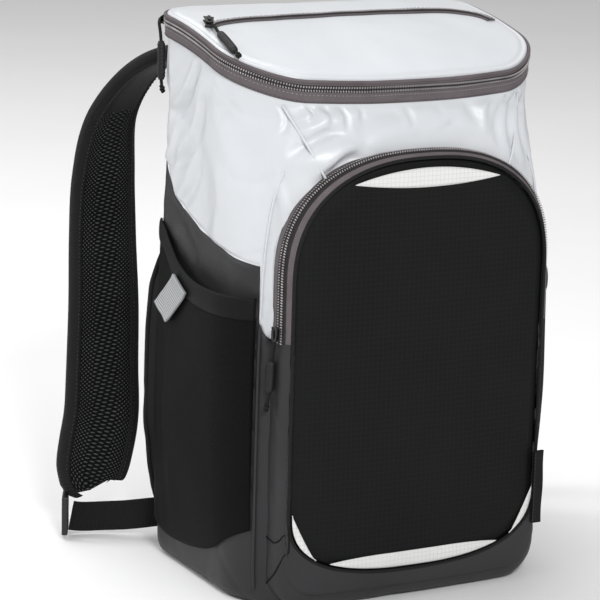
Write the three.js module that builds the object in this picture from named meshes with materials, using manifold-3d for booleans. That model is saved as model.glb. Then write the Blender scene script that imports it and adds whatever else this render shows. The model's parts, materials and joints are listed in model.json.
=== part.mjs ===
// Cooler backpack with a sloping zipped lid, an arched front pocket and padded straps
// Millimetres, +Z up, the front pocket towards -Y, origin on the floor under the bag

import * as THREE from 'three';
import { mergeVertices } from 'three/addons/utils/BufferGeometryUtils.js';
import Module from 'manifold-3d';

const wasm = await Module();
wasm.setup();

// Main sizes of the bag
const bagHeight = 445;
const bagHalfWidth = 137;
const backReach = 97;
const frontReach = 90;
const frontBow = 17;
const backCorner = 30;
const frontCorner = 50;
const wallThickness = 7;
const floorThickness = 8;
const lidDrop = 38;
const lidThickness = 10;
const lidCrown = 4;
const seamGap = 0.3;

// Main zip under the lid
const tapeThickness = 2.5;
const upperTapeHeight = 2.4;
const zipCoilHeight = 4.6;
const lowerTapeHeight = 9.3;
const coilRise = 1.0;
const lidPipingRadius = 1.7;
const hingeDepth = 4;

// Front pocket
const pocketHalfWidth = 117;
const pocketTop = 357;
const pocketBottom = 3;
const pocketReach = 104;
const pocketBow = 5;
const pocketWall = 2;
const pocketZipEnd = 215;
const panelThickness = 2.5;
const panelPipingRadius = 1.9;
const insetThickness = 0.8;
const tapeRise = 0.9;

// Side pockets
const sideSheet = 1.5;
const sideBulge = 15;
const rimHeight = 18;
const rimThickness = 2.4;
const weltRadius = 1.6;
const tabThickness = 2.2;

// Back panel
const backPad = 20;
const backPanelTop = 372;
const wingHalfWidth = 138;
const wingGap = 0.5;

// Shoulder straps
const strapWidth = 60;
const strapThickness = 14;
const strapReach = 93;
const webbingWidth = 25;
const webbingThickness = 2;
const buckleWidth = 33;
const buckleHeight = 26;
const buckleThickness = 5;
const buckleCorner = 3;
const buckleBar = 4;
const buckleSlot = 5.5;

// Zip pulls
const pullCordRadius = 1.4;
const pullTubeRadius = 3.4;
const pullKnotRadius = 3.0;
const pullLength = 54;
const sliderLength = 11;
const sliderWidth = 8.5;
const sliderThick = 5;

// Blank label folded into the right seam of the front pocket
const labelHeight = 56;
const labelWidth = 9;
const labelThickness = 1.8;

// Levels of the walls, as shares of the sizes that each column names
const levels = [
  { height: 0.000, width: 0.950, front: 0.940, back: 0.970, bow: 0.50, round: 0.96 },
  { height: 0.010, width: 0.995, front: 0.985, back: 0.995, bow: 0.50, round: 0.99 },
  { height: 0.030, width: 1.015, front: 1.000, back: 1.000, bow: 0.50, round: 1.00 },
  { height: 0.150, width: 1.022, front: 1.000, back: 1.000, bow: 0.50, round: 1.00 },
  { height: 0.330, width: 1.022, front: 1.000, back: 1.000, bow: 0.50, round: 1.00 },
  { height: 0.500, width: 1.015, front: 1.000, back: 1.000, bow: 0.50, round: 1.00 },
  { height: 0.620, width: 1.005, front: 0.995, back: 1.000, bow: 0.50, round: 1.02 },
  { height: 0.720, width: 0.998, front: 0.975, back: 1.000, bow: 0.54, round: 1.12 },
  { height: 0.790, width: 0.990, front: 0.925, back: 1.000, bow: 0.68, round: 1.24 },
  { height: 0.830, width: 0.986, front: 0.855, back: 1.000, bow: 0.80, round: 1.24 },
  { height: 0.865, width: 0.990, front: 0.750, back: 1.000, bow: 0.94, round: 1.14 },
  { height: 0.885, width: 1.000, front: 0.680, back: 1.000, bow: 1.00, round: 1.00 },
  { height: 1.100, width: 1.000, front: 0.680, back: 1.000, bow: 1.00, round: 1.00 },
];

// Soft dents in the walls: place round the outline, height and depth as shares
const dents = [
  { turn: 2.35, height: 0.80, depth: 0.30, spreadTurn: 0.30, spreadHeight: 0.050 },
  { turn: 2.80, height: 0.70, depth: 0.25, spreadTurn: 0.22, spreadHeight: 0.060 },
  { turn: 4.40, height: 0.85, depth: 0.30, spreadTurn: 0.25, spreadHeight: 0.030 },
  { turn: 7.10, height: 0.78, depth: 0.28, spreadTurn: 0.30, spreadHeight: 0.045 },
  { turn: 7.60, height: 0.45, depth: 0.22, spreadTurn: 0.25, spreadHeight: 0.080 },
];

// Line between the white and the grey walls, from back to front
const colourLine = [
  { depth: -0.020, height: 0.800 },
  { depth: 0.173, height: 0.726 },
  { depth: 0.204, height: 0.701 },
  { depth: 0.262, height: 0.683 },
  { depth: 0.361, height: 0.665 },
  { depth: 0.476, height: 0.647 },
  { depth: 0.613, height: 0.636 },
  { depth: 0.749, height: 0.629 },
  { depth: 0.890, height: 0.627 },
];
const tongueDepth = 0.890;

// Edges of a side pocket along the depth of the bag
const sideEdges = [
  { depth: 0.050, bottom: 0.078, top: 0.664 },
  { depth: 0.110, bottom: 0.070, top: 0.660 },
  { depth: 0.180, bottom: 0.058, top: 0.645 },
  { depth: 0.262, bottom: 0.053, top: 0.605 },
  { depth: 0.361, bottom: 0.055, top: 0.578 },
  { depth: 0.508, bottom: 0.063, top: 0.564 },
  { depth: 0.665, bottom: 0.081, top: 0.558 },
  { depth: 0.800, bottom: 0.118, top: 0.556 },
  { depth: 0.888, bottom: 0.140, top: 0.555 },
];

// Front pocket wall, from the bag forwards, as shares of the pocket's sizes
const pocketLevels = [
  { reach: 0.500, width: 1.000, top: 1.000, lift: 0.000 },
  { reach: 0.885, width: 1.000, top: 1.000, lift: 0.000 },
  { reach: 0.942, width: 0.983, top: 0.996, lift: 0.012 },
  { reach: 0.975, width: 0.957, top: 0.990, lift: 0.030 },
];

// Helpers for tables and solids

function mix(a, b, t) {
  return a + (b - a) * t;
}

function readTable(rows, key, value, column) {
  let i = 0;
  while (i < rows.length - 2 && rows[i + 1][key] < value) {
    i += 1;
  }
  const span = rows[i + 1][key] - rows[i][key];
  const t = Math.min(1, Math.max(0, (value - rows[i][key]) / span));
  return mix(rows[i][column], rows[i + 1][column], t);
}

function solidOf(geometry) {
  const bare = geometry.clone();
  bare.deleteAttribute('normal');
  bare.deleteAttribute('uv');
  const merged = mergeVertices(bare, 1e-4);
  return new wasm.Manifold(new wasm.Mesh({
    numProp: 3,
    vertProperties: new Float32Array(merged.attributes.position.array),
    triVerts: new Uint32Array(merged.index.array),
  }));
}

function geometryOf(solid) {
  const mesh = solid.getMesh();
  const geometry = new THREE.BufferGeometry();
  geometry.setAttribute('position', new THREE.BufferAttribute(mesh.vertProperties.slice(), 3));
  geometry.setIndex(new THREE.BufferAttribute(mesh.triVerts.slice(), 1));
  return geometry;
}

// Six times the volume, below zero where the faces point inwards
function signedVolume(points, faces) {
  let sum = 0;
  for (const [a, b, c] of faces) {
    const p = points[a];
    const q = points[b];
    const r = points[c];
    sum += p[0] * (q[1] * r[2] - q[2] * r[1]);
    sum += p[1] * (q[2] * r[0] - q[0] * r[2]);
    sum += p[2] * (q[0] * r[1] - q[1] * r[0]);
  }
  return sum;
}

// A closed body whose faces point out
function geometryFrom(points, faces) {
  const inward = signedVolume(points, faces) < 0;
  const turned = inward ? faces.map(([a, b, c]) => [b, a, c]) : faces;
  const geometry = new THREE.BufferGeometry();
  geometry.setAttribute('position', new THREE.Float32BufferAttribute(points.flat(), 3));
  geometry.setIndex(turned.flat());
  return geometry;
}

// A closed body through rings of equal length, each end shut by a fan to its middle point
function loft(rings, startPoint, endPoint) {
  const count = rings[0].length;
  const points = rings.flat();
  const faces = [];
  for (let r = 0; r < rings.length - 1; r += 1) {
    for (let i = 0; i < count; i += 1) {
      const j = (i + 1) % count;
      const a = r * count + i;
      const b = r * count + j;
      const c = (r + 1) * count + j;
      const d = (r + 1) * count + i;
      faces.push([a, b, c], [a, c, d]);
    }
  }
  const first = points.length;
  points.push(startPoint, endPoint);
  const last = (rings.length - 1) * count;
  for (let i = 0; i < count; i += 1) {
    const j = (i + 1) % count;
    faces.push([first, j, i], [first + 1, last + i, last + j]);
  }
  return geometryFrom(points, faces);
}

function middleOf(ring) {
  const sum = [0, 0, 0];
  for (const p of ring) {
    sum[0] += p[0];
    sum[1] += p[1];
    sum[2] += p[2];
  }
  return sum.map((v) => v / ring.length);
}

function loftRings(rings) {
  return loft(rings, middleOf(rings[0]), middleOf(rings[rings.length - 1]));
}

// A thin body between two grids of equal size
function sheet(outer, inner) {
  const rows = outer.length;
  const columns = outer[0].length;
  const points = [...outer.flat(), ...inner.flat()];
  const half = rows * columns;
  const faces = [];
  const quad = (a, b, c, d) => faces.push([a, b, c], [a, c, d]);
  for (let r = 0; r < rows - 1; r += 1) {
    for (let c = 0; c < columns - 1; c += 1) {
      const a = r * columns + c;
      quad(a, a + 1, a + columns + 1, a + columns);
      quad(half + a, half + a + columns, half + a + columns + 1, half + a + 1);
    }
  }
  for (let c = 0; c < columns - 1; c += 1) {
    const top = (rows - 1) * columns + c;
    quad(half + c, half + c + 1, c + 1, c);
    quad(top, top + 1, half + top + 1, half + top);
  }
  for (let r = 0; r < rows - 1; r += 1) {
    const a = r * columns;
    const b = a + columns - 1;
    quad(a, a + columns, half + a + columns, half + a);
    quad(b, half + b, half + b + columns, b + columns);
  }
  return geometryFrom(points, faces);
}

function mirrored(geometry) {
  const copy = mergeVertices(geometry.clone());
  copy.scale(-1, 1, 1);
  const index = copy.index.array;
  for (let i = 0; i < index.length; i += 3) {
    const keep = index[i];
    index[i] = index[i + 1];
    index[i + 1] = keep;
  }
  return copy;
}

// A prism across the whole width of the bag, from a side outline of y and z
function sidePrism(outline) {
  const shape = new THREE.Shape(outline.map((p) => new THREE.Vector2(p[0], p[1])));
  const width = 4 * bagHalfWidth;
  const geometry = new THREE.ExtrudeGeometry(shape, { depth: width, bevelEnabled: false });
  geometry.translate(0, 0, -width / 2);
  const turn = new THREE.Matrix4().makeBasis(
    new THREE.Vector3(0, 1, 0),
    new THREE.Vector3(0, 0, 1),
    new THREE.Vector3(1, 0, 0),
  );
  geometry.applyMatrix4(turn);
  return solidOf(geometry);
}

// A round cord through points, with closed ends
function cord(points, radius, sides = 8, closed = false) {
  const count = points.length;
  const rings = [];
  let side = null;
  for (let i = 0; i < count; i += 1) {
    const before = points[closed ? (i + count - 1) % count : Math.max(0, i - 1)];
    const after = points[closed ? (i + 1) % count : Math.min(count - 1, i + 1)];
    const along = new THREE.Vector3().subVectors(after, before).normalize();
    if (side === null) {
      const start = Math.abs(along.z) > 0.9 ? new THREE.Vector3(1, 0, 0) : new THREE.Vector3(0, 0, 1);
      side = start;
    }
    side = side.clone().addScaledVector(along, -side.dot(along)).normalize();
    const up = new THREE.Vector3().crossVectors(along, side);
    const ring = [];
    for (let k = 0; k < sides; k += 1) {
      const angle = (k / sides) * 2 * Math.PI;
      const p = points[i].clone();
      p.addScaledVector(side, radius * Math.cos(angle));
      p.addScaledVector(up, radius * Math.sin(angle));
      ring.push(p.toArray());
    }
    rings.push(ring);
  }
  if (!closed) {
    return loftRings(rings);
  }
  const faces = [];
  for (let r = 0; r < count; r += 1) {
    const next = (r + 1) % count;
    for (let k = 0; k < sides; k += 1) {
      const j = (k + 1) % sides;
      const a = r * sides + k;
      const b = r * sides + j;
      const c = next * sides + j;
      const d = next * sides + k;
      faces.push([a, b, c], [a, c, d]);
    }
  }
  return geometryFrom(rings.flat(), faces);
}

const vec = (x, y, z) => new THREE.Vector3(x, y, z);

// Outline of the walls at a height, moved outwards by a distance

const frontDepth = frontReach + frontBow * 0.5;
const bagDepth = (backReach + frontDepth) * 0.98;

function sectionAt(z) {
  const share = z / bagHeight;
  return {
    z,
    width: bagHalfWidth * readTable(levels, 'height', share, 'width'),
    front: frontReach * readTable(levels, 'height', share, 'front'),
    back: backReach * readTable(levels, 'height', share, 'back'),
    bow: frontBow * readTable(levels, 'height', share, 'bow'),
    round: frontCorner * readTable(levels, 'height', share, 'round'),
  };
}

function dentAt(turn, z) {
  let depth = 0;
  for (const dent of dents) {
    const a = (turn - dent.turn) / dent.spreadTurn;
    const b = (z / bagHeight - dent.height) / dent.spreadHeight;
    depth += dent.depth * wallThickness * Math.exp(-a * a - b * b);
  }
  return depth;
}

// Turn runs 0 at the middle of the back, over the right side to 5 at the middle of the front,
// and on over the left side to 10: each unit is one edge or one corner
function outlinePoint(section, turn, out) {
  const left = turn > 5;
  const t = left ? 10 - turn : turn;
  const width = section.width + out;
  const back = section.back + out;
  const front = section.front + out;
  const rBack = backCorner + out;
  const rFront = section.round + out;
  let x;
  let y;
  let bowShare = 0;
  if (t <= 1) {
    x = (width - rBack) * t;
    y = back;
  } else if (t <= 2) {
    const angle = (t - 1) * Math.PI / 2;
    x = width - rBack + rBack * Math.sin(angle);
    y = back - rBack + rBack * Math.cos(angle);
  } else if (t <= 3) {
    x = width;
    y = mix(back - rBack, rFront - front, t - 2);
  } else if (t <= 4) {
    const angle = (t - 3) * Math.PI / 2;
    x = width - rFront + rFront * Math.cos(angle);
    y = rFront - front - rFront * Math.sin(angle);
    bowShare = Math.sin(angle) ** 2;
  } else {
    x = (width - rFront) * (5 - t);
    y = -front;
    bowShare = 1;
  }
  const across = x / width;
  y -= section.bow * (1 - across * across) * bowShare;
  return [left ? -x : x, y, section.z];
}

const outlineTurns = [];
for (const [from, to, steps] of [[0, 1, 2], [1, 2, 4], [2, 3, 4], [3, 4, 5], [4, 5, 4]]) {
  for (let i = 0; i < steps; i += 1) {
    outlineTurns.push(mix(from, to, i / steps));
  }
}
const halfTurns = outlineTurns.length;
for (let i = 0; i < halfTurns; i += 1) {
  outlineTurns.push(i === 0 ? 5 : 10 - outlineTurns[halfTurns - i]);
}

function wallRing(z, out) {
  const section = sectionAt(z);
  return outlineTurns.map((turn) => outlinePoint(section, turn, out - dentAt(turn, z)));
}

function wallSolid(out, bottom, stride = 1) {
  const last = levels.length - 1;
  const kept = levels.filter((row, i) => i % stride === last % stride);
  const heights = kept.map((row) => row.height * bagHeight).filter((z) => z > bottom + seamGap);
  return solidOf(loftRings([bottom, ...heights].map((z) => wallRing(z, out))));
}

// A point on the left side wall from its depth and height
function turnOfSide(y, section) {
  const backEdge = section.back - backCorner;
  const frontEdge = section.round - section.front;
  if (y > backEdge) {
    return 2 - Math.asin(Math.min(1, (y - backEdge) / backCorner)) / (Math.PI / 2);
  }
  if (y < frontEdge) {
    return 3 + Math.asin(Math.min(1, (frontEdge - y) / section.round)) / (Math.PI / 2);
  }
  return 2 + (backEdge - y) / (backEdge - frontEdge);
}

function sidePoint(y, z, out) {
  const section = sectionAt(z);
  const turn = turnOfSide(y, section);
  return outlinePoint(section, 10 - turn, out);
}

// A point on the front wall from its place across and its height
function frontPoint(x, z, out) {
  const section = sectionAt(z);
  const flat = section.width - section.round;
  const across = Math.abs(x);
  let turn;
  if (across <= flat) {
    turn = 5 - across / flat;
  } else {
    turn = 3 + Math.acos(Math.min(1, (across - flat) / section.round)) / (Math.PI / 2);
  }
  return outlinePoint(section, x < 0 ? 10 - turn : turn, out);
}

// Lid height over the depth of the bag: level at the back, falling to the front
const lidFront = -(frontReach * 0.68 + frontBow);
const lidFlat = backReach * 1.134;

function lidHeight(y) {
  const s = Math.min(1, Math.max(0, (y - lidFront) / (lidFlat - lidFront)));
  return bagHeight - lidDrop + lidDrop * (2 * s - s * s);
}

const hingeY = backReach - hingeDepth;
const farFront = lidFront - bagHalfWidth * 0.45;

function lidBand(upper, lower) {
  const count = 14;
  const top = [];
  const bottom = [];
  for (let i = 0; i <= count; i += 1) {
    const y = mix(hingeY, lidFront, i / count);
    top.push([y, lidHeight(y) - upper]);
    bottom.push([y, lidHeight(y) - lower]);
  }
  top.push([farFront, lidHeight(farFront) - upper]);
  bottom.push([farFront, lidHeight(farFront) - lower]);
  return sidePrism([...top.reverse(), ...bottom].reverse());
}

function belowLid(drop) {
  const count = 14;
  const farBack = backReach * 1.4;
  const under = -floorThickness;
  const outline = [[farFront, under], [farBack, under], [farBack, lidHeight(farBack) - seamGap]];
  outline.push([hingeY + seamGap, lidHeight(hingeY + seamGap) - seamGap]);
  outline.push([hingeY + seamGap, lidHeight(hingeY + seamGap) - drop]);
  for (let i = 1; i <= count; i += 1) {
    const y = mix(hingeY, lidFront, i / count);
    outline.push([y, lidHeight(y) - drop]);
  }
  outline.push([farFront, lidHeight(farFront) - drop]);
  return sidePrism(outline);
}

const depthAt = (share) => backReach - share * bagDepth;

function aboveLine(shift) {
  const outline = colourLine.map((row) => [depthAt(row.depth) + shift, row.height * bagHeight - shift]);
  const tongueY = depthAt(tongueDepth) + shift;
  outline.push([tongueY, pocketZipEnd - shift]);
  outline.push([farFront * 1.4, pocketZipEnd - shift]);
  outline.push([farFront * 1.4, bagHeight * 1.2]);
  outline.push([outline[0][0], bagHeight * 1.2]);
  return sidePrism(outline.reverse());
}

// Walls: one hollow body with a flat floor, split along the colour line
const outerWall = wallSolid(0, 0);
const innerWall = wallSolid(-wallThickness, floorThickness, 2);
const zipDepth = upperTapeHeight + zipCoilHeight + lowerTapeHeight + seamGap;
const walls = outerWall.subtract(innerWall).intersect(belowLid(zipDepth));
const upperWalls = walls.intersect(aboveLine(0));
const lowerWalls = walls.subtract(aboveLine(seamGap));

// Main zip: three bands round the left, front and right sides
function straightWall(out) {
  const section = sectionAt(bagHeight);
  return solidOf(loftRings([0.85, 1.08].map((share) => {
    const level = { ...section, z: bagHeight * share };
    return outlineTurns.map((turn) => outlinePoint(level, turn, out));
  })));
}

function zipBand(upper, lower, rise) {
  return straightWall(rise).subtract(straightWall(-tapeThickness)).intersect(lidBand(upper, lower));
}
const tapeLine = upperTapeHeight;
const coilLine = upperTapeHeight + zipCoilHeight;
const lowerLine = coilLine + lowerTapeHeight;
const upperTape = zipBand(seamGap, tapeLine, tapeRise);
const zipCoil = zipBand(tapeLine + seamGap, coilLine, tapeRise + coilRise);
const lowerTape = zipBand(coilLine + seamGap, lowerLine, tapeRise);

// Lid: rings that follow the slope, a padded plug below and a soft crown above
const lidTurns = outlineTurns;
const lidCentreY = (backReach + lidFront) / 2;

function lidRing(out, scale, rise) {
  const section = sectionAt(bagHeight);
  return lidTurns.map((turn) => {
    const p = outlinePoint(section, turn, out);
    const x = p[0] * scale;
    const y = mix(lidCentreY, p[1], scale);
    return [x, y, lidHeight(y) + rise];
  });
}
const plugInset = wallThickness + 1.2;
const lidRows = [
  lidRing(-plugInset, 0.96, -lidThickness * 0.5),
  lidRing(-plugInset, 1, -lidThickness * 0.3),
  lidRing(-plugInset, 1, seamGap),
  lidRing(0, 1, seamGap),
  lidRing(0, 1, lidThickness * 0.28),
  lidRing(0, 0.985, lidThickness * 0.44),
  lidRing(0, 0.90, lidThickness * 0.5 + lidCrown * 0.20),
  lidRing(0, 0.60, lidThickness * 0.5 + lidCrown * 0.72),
];
const lidBottomPoint = [0, lidCentreY, lidHeight(lidCentreY) - lidThickness * 0.5];
const lidTopPoint = [0, lidCentreY, lidHeight(lidCentreY) + lidThickness * 0.5 + lidCrown];
const lidGeometry = loft(lidRows, lidBottomPoint, lidTopPoint);

const lidPipingOut = lidPipingRadius + seamGap;
const lidPipingPath = lidTurns.map((turn) => {
  const p = outlinePoint(sectionAt(bagHeight), turn, lidPipingOut);
  return vec(p[0], p[1], lidHeight(p[1]) + lidPipingRadius);
});

// Height of the lid's top surface, between its rings
function lidTop(x, y) {
  const edge = outlinePoint(sectionAt(bagHeight), 0, 0)[1];
  const depth = y > lidCentreY ? (y - lidCentreY) / (edge - lidCentreY)
    : (lidCentreY - y) / (lidCentreY - lidFront);
  const across = Math.abs(x) / bagHalfWidth;
  const far = Math.min(1, Math.max(depth, across, Math.hypot(depth, across) * 0.93));
  const rows = [
    { far: 0, rise: 1.0 },
    { far: 0.60, rise: 0.72 },
    { far: 0.90, rise: 0.20 },
    { far: 1.0, rise: 0.0 },
  ];
  return lidHeight(y) + lidThickness * 0.5 + lidCrown * readTable(rows, 'far', far, 'rise');
}

// Second zip across the back of the lid, curved forward at both ends
const lidZipRows = [
  { across: -0.900, depth: 0.465 },
  { across: -0.870, depth: 0.400 },
  { across: -0.760, depth: 0.345 },
  { across: -0.450, depth: 0.318 },
  { across: 0.000, depth: 0.313 },
  { across: 0.450, depth: 0.318 },
  { across: 0.760, depth: 0.345 },
  { across: 0.870, depth: 0.400 },
  { across: 0.900, depth: 0.465 },
];
const lidZipHalf = 4;
const lidZipPath = new THREE.CatmullRomCurve3(lidZipRows.map((row) => {
  const x = row.across * bagHalfWidth;
  const y = depthAt(row.depth);
  return vec(x, y, 0);
}));

function stripOnLid(halfWidth, lift, thickness, steps) {
  const outer = [];
  const inner = [];
  for (let i = 0; i <= steps; i += 1) {
    const p = lidZipPath.getPoint(i / steps);
    const t = lidZipPath.getTangent(i / steps);
    const nx = t.y;
    const ny = -t.x;
    const top = [];
    const low = [];
    for (const side of [-1, 0, 1]) {
      const x = p.x + nx * side * halfWidth;
      const y = p.y + ny * side * halfWidth;
      const z = lidTop(x, y) + lift;
      top.push([x, y, z + thickness]);
      low.push([x, y, z]);
    }
    outer.push(top);
    inner.push(low);
  }
  return sheet(outer, inner);
}

const lidSolid = solidOf(lidGeometry);

// Front pocket: arched outline in x and z
function archOutline(half, top, bottom, out) {
  const points = [];
  const topDrop = (pocketTop - pocketBottom) * 0.265;
  const bottomRise = (pocketTop - pocketBottom) * 0.150;
  const steps = 7;
  const corner = (steepness, k) => {
    const angle = (k / steps) * Math.PI / 2;
    return [Math.cos(angle) ** (2 / steepness), Math.sin(angle) ** (2 / steepness)];
  };
  const h = half + out;
  for (let k = 0; k <= steps; k += 1) {
    const [c, s] = corner(2.2, k);
    points.push([h * s, bottom - out + (bottomRise + out) * (1 - c)]);
  }
  points.push([h, mix(bottom + bottomRise, top - topDrop, 0.5)]);
  for (let k = 0; k < steps; k += 1) {
    const [c, s] = corner(2.4, k);
    points.push([h * c, top - topDrop + (topDrop + out) * s]);
  }
  const left = points.slice(1).reverse().map((p) => [-p[0], p[1]]);
  return [...points, [0, top + out], ...left];
}

function bowAt(x, y) {
  const share = Math.min(1, Math.max(0, (-y - pocketReach * 0.6) / (pocketReach * 0.25)));
  const across = Math.min(1, Math.abs(x) / pocketHalfWidth);
  return pocketBow * (1 - across * across) * share;
}

function pocketRing(reachShare, out) {
  const half = pocketHalfWidth * readTable(pocketLevels, 'reach', reachShare, 'width');
  const top = pocketTop * readTable(pocketLevels, 'reach', reachShare, 'top');
  const lift = pocketTop * readTable(pocketLevels, 'reach', reachShare, 'lift');
  const y = -pocketReach * reachShare;
  return archOutline(half, top, pocketBottom + lift, out).map((p) => [p[0], y - bowAt(p[0], y), p[1]]);
}

function pocketSolid(out, from, to) {
  const shares = pocketLevels.map((row) => row.reach).filter((s) => s > from && s < to);
  return solidOf(loftRings([from, ...shares, to].map((s) => pocketRing(s, out))));
}
const wallCutter = wallSolid(seamGap, -floorThickness);
const gussetEnd = 0.975;
const gussetStart = 0.5;
const pocketFront = pocketSolid(0, gussetStart, gussetEnd);
const pocketHollow = pocketSolid(-pocketWall, gussetStart - 0.02, gussetEnd + 0.02);
const gusset = pocketFront.subtract(pocketHollow).subtract(wallCutter);

// Pocket zip: bands on the outside of the arch, down to the zip's ends
function bandBox(low, high) {
  const far = 2 * pocketReach;
  return sidePrism([[-far, low], [pocketReach, low], [pocketReach, high], [-far, high]]);
}
const zipReach = bandBox(pocketZipEnd, bagHeight);

function archBand(from, to, rise) {
  const outer = pocketSolid(rise, from, to);
  const inner = pocketSolid(seamGap, from - 0.02, to + 0.02);
  return outer.subtract(inner).subtract(wallCutter).intersect(zipReach);
}
const outerTape = archBand(0.60, 0.884, tapeRise);
const pocketCoil = archBand(0.888, 0.925, tapeRise + coilRise);
const innerTape = archBand(0.929, 0.972, tapeRise);

// Panel over the front of the pocket, in rows from bottom to top
const panelHalf = pocketHalfWidth * 0.945;
const panelTop = pocketTop * 0.987;
const panelBottom = pocketBottom + pocketTop * 0.056;
const panelOutline = archOutline(panelHalf, panelTop, panelBottom, 0);

function outlineHalf(z) {
  const right = panelOutline.slice(0, Math.floor(panelOutline.length / 2) + 1);
  let i = 0;
  while (i < right.length - 2 && right[i + 1][1] < z) {
    i += 1;
  }
  const span = Math.max(1e-6, right[i + 1][1] - right[i][1]);
  const t = Math.min(1, Math.max(0, (z - right[i][1]) / span));
  return Math.max(2, mix(right[i][0], right[i + 1][0], t));
}

function panelY(x) {
  const across = Math.min(1, Math.abs(x) / pocketHalfWidth);
  return -pocketReach - pocketBow * (1 - across * across);
}

const panelShares = [
  0, 0.006, 0.02, 0.045, 0.09, 0.15, 0.32, 0.52, 0.72, 0.80, 0.87, 0.93, 0.97, 0.99, 0.997, 1,
];
const acrossShares = [-1, -0.75, -0.5, -0.25, 0, 0.25, 0.5, 0.75, 1];

function plateRows(halfAt, heights, front, back) {
  const outer = [];
  const inner = [];
  for (const z of heights) {
    const half = halfAt(z);
    outer.push(acrossShares.map((s) => [s * half, panelY(s * half) - front, z]));
    inner.push(acrossShares.map((s) => [s * half, panelY(s * half) - back, z]));
  }
  return sheet(outer, inner);
}
const panelHeights = panelShares.map((s) => mix(panelBottom, panelTop, s));
const panelGeometry = plateRows(outlineHalf, panelHeights, 0, -panelThickness + 0.2);

const panelPipingLine = archOutline(panelHalf, panelTop, panelBottom, panelPipingRadius + seamGap);
const panelPipingPath = panelPipingLine.map((p) => {
  return vec(p[0], panelY(p[0]) + panelPipingRadius * 0.2, p[1]);
});

// White insets on the panel: lens shapes from a table of heights
function lens(half, lower, upper, tip, power) {
  const outer = [];
  const inner = [];
  const count = 12;
  for (let i = 0; i <= count; i += 1) {
    const s = mix(-1, 1, i / count);
    const x = s * half;
    const shape = 1 - Math.abs(s) ** power;
    const low = mix(tip, lower, shape) - 0.3;
    const high = mix(tip, upper, shape) + 0.3;
    const rowOut = [];
    const rowIn = [];
    for (const v of [0, 1]) {
      const z = mix(low, high, v);
      rowOut.push([x, panelY(x) - seamGap - insetThickness, z]);
      rowIn.push([x, panelY(x) - seamGap, z]);
    }
    outer.push(rowOut);
    inner.push(rowIn);
  }
  return sheet(inner, outer);
}
const insetTop = lens(pocketHalfWidth * 0.56, pocketTop * 0.928, pocketTop * 0.971, pocketTop * 0.942, 2);
const insetBottom = lens(
  pocketHalfWidth * 0.66, pocketTop * 0.073, pocketTop * 0.112, pocketTop * 0.104, 2.4,
);

// Corner insets follow the lower corners of the panel
function cornerInset() {
  const outer = [];
  const inner = [];
  const count = 8;
  const high = panelBottom + pocketTop * 0.155;
  const low = panelBottom + pocketTop * 0.058;
  for (let i = 0; i <= count; i += 1) {
    const z = mix(low, high, i / count);
    const edge = outlineHalf(z) - 1;
    const swell = Math.sin((i / count) * Math.PI) * pocketHalfWidth * 0.05 + 0.5;
    const rowOut = [];
    const rowIn = [];
    for (const x of [edge - swell, edge]) {
      rowOut.push([x, panelY(x) - seamGap - insetThickness, z]);
      rowIn.push([x, panelY(x) - seamGap, z]);
    }
    outer.push(rowOut);
    inner.push(rowIn);
  }
  return sheet(outer, inner);
}
const insetRight = cornerInset();
const insetLeft = mirrored(insetRight);

// Side pockets: a loose sheet standing off the wall, with a bound rim
function sideEdge(y, column) {
  return bagHeight * readTable(sideEdges, 'depth', (backReach - y) / bagDepth, column);
}
const sideFront = depthAt(0.883);
const sideBack = depthAt(0.095);

function sideOut(u, v) {
  const across = Math.sin(Math.PI * u) ** 0.55;
  const along = Math.sin(Math.min(1, v * 1.5) * Math.PI / 2) ** 0.8 - 0.25 * Math.max(0, v - 0.5);
  const crease = 0.16 * Math.exp(-(((u - 0.78) / 0.06) ** 2)) * Math.sin(Math.PI * v);
  return seamGap + 0.5 + sideBulge * across * (along - crease);
}

function sideGrid(fromShare, toShare, rows, extra) {
  const columns = 12;
  const grid = [];
  for (let r = 0; r <= rows; r += 1) {
    const line = [];
    for (let c = 0; c <= columns; c += 1) {
      const u = c / columns;
      const y = mix(sideFront, sideBack, u);
      const low = sideEdge(y, 'bottom');
      const high = sideEdge(y, 'top');
      const zLow = fromShare === 0 ? low : high - rimHeight + seamGap;
      const zHigh = toShare === 0 ? high - rimHeight : high;
      const z = mix(zLow, zHigh, r / rows);
      const v = fromShare === 0 ? r / rows : 1;
      line.push(sidePoint(y, z, sideOut(u, v) + extra));
    }
    grid.push(line);
  }
  return grid;
}
const sidePocketLeft = sheet(sideGrid(0, 0, 7, 0), sideGrid(0, 0, 7, sideSheet));
const rimLeft = sheet(sideGrid(1, 1, 2, -0.2), sideGrid(1, 1, 2, rimThickness));

// Ribbed tab over the rim, laid slanting down to the back
const tabCorners = [
  { depth: 0.330, height: 0.550 },
  { depth: 0.452, height: 0.528 },
  { depth: 0.262, height: 0.454 },
  { depth: 0.140, height: 0.478 },
];

function tabGrid(extra) {
  const corner = tabCorners.map((row) => [depthAt(row.depth), row.height * bagHeight]);
  const grid = [];
  for (let r = 0; r <= 2; r += 1) {
    const line = [];
    for (let c = 0; c <= 5; c += 1) {
      const u = c / 5;
      const v = r / 2;
      const y = mix(mix(corner[0][0], corner[3][0], u), mix(corner[1][0], corner[2][0], u), v);
      const z = mix(mix(corner[0][1], corner[3][1], u), mix(corner[1][1], corner[2][1], u), v);
      const share = (y - sideFront) / (sideBack - sideFront);
      const along = Math.min(0.98, Math.max(0.02, share));
      line.push(sidePoint(y, z, sideOut(along, 1) + rimThickness + seamGap * 2 + extra));
    }
    grid.push(line);
  }
  return grid;
}
const tabLeft = sheet(tabGrid(0), tabGrid(tabThickness));

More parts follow.
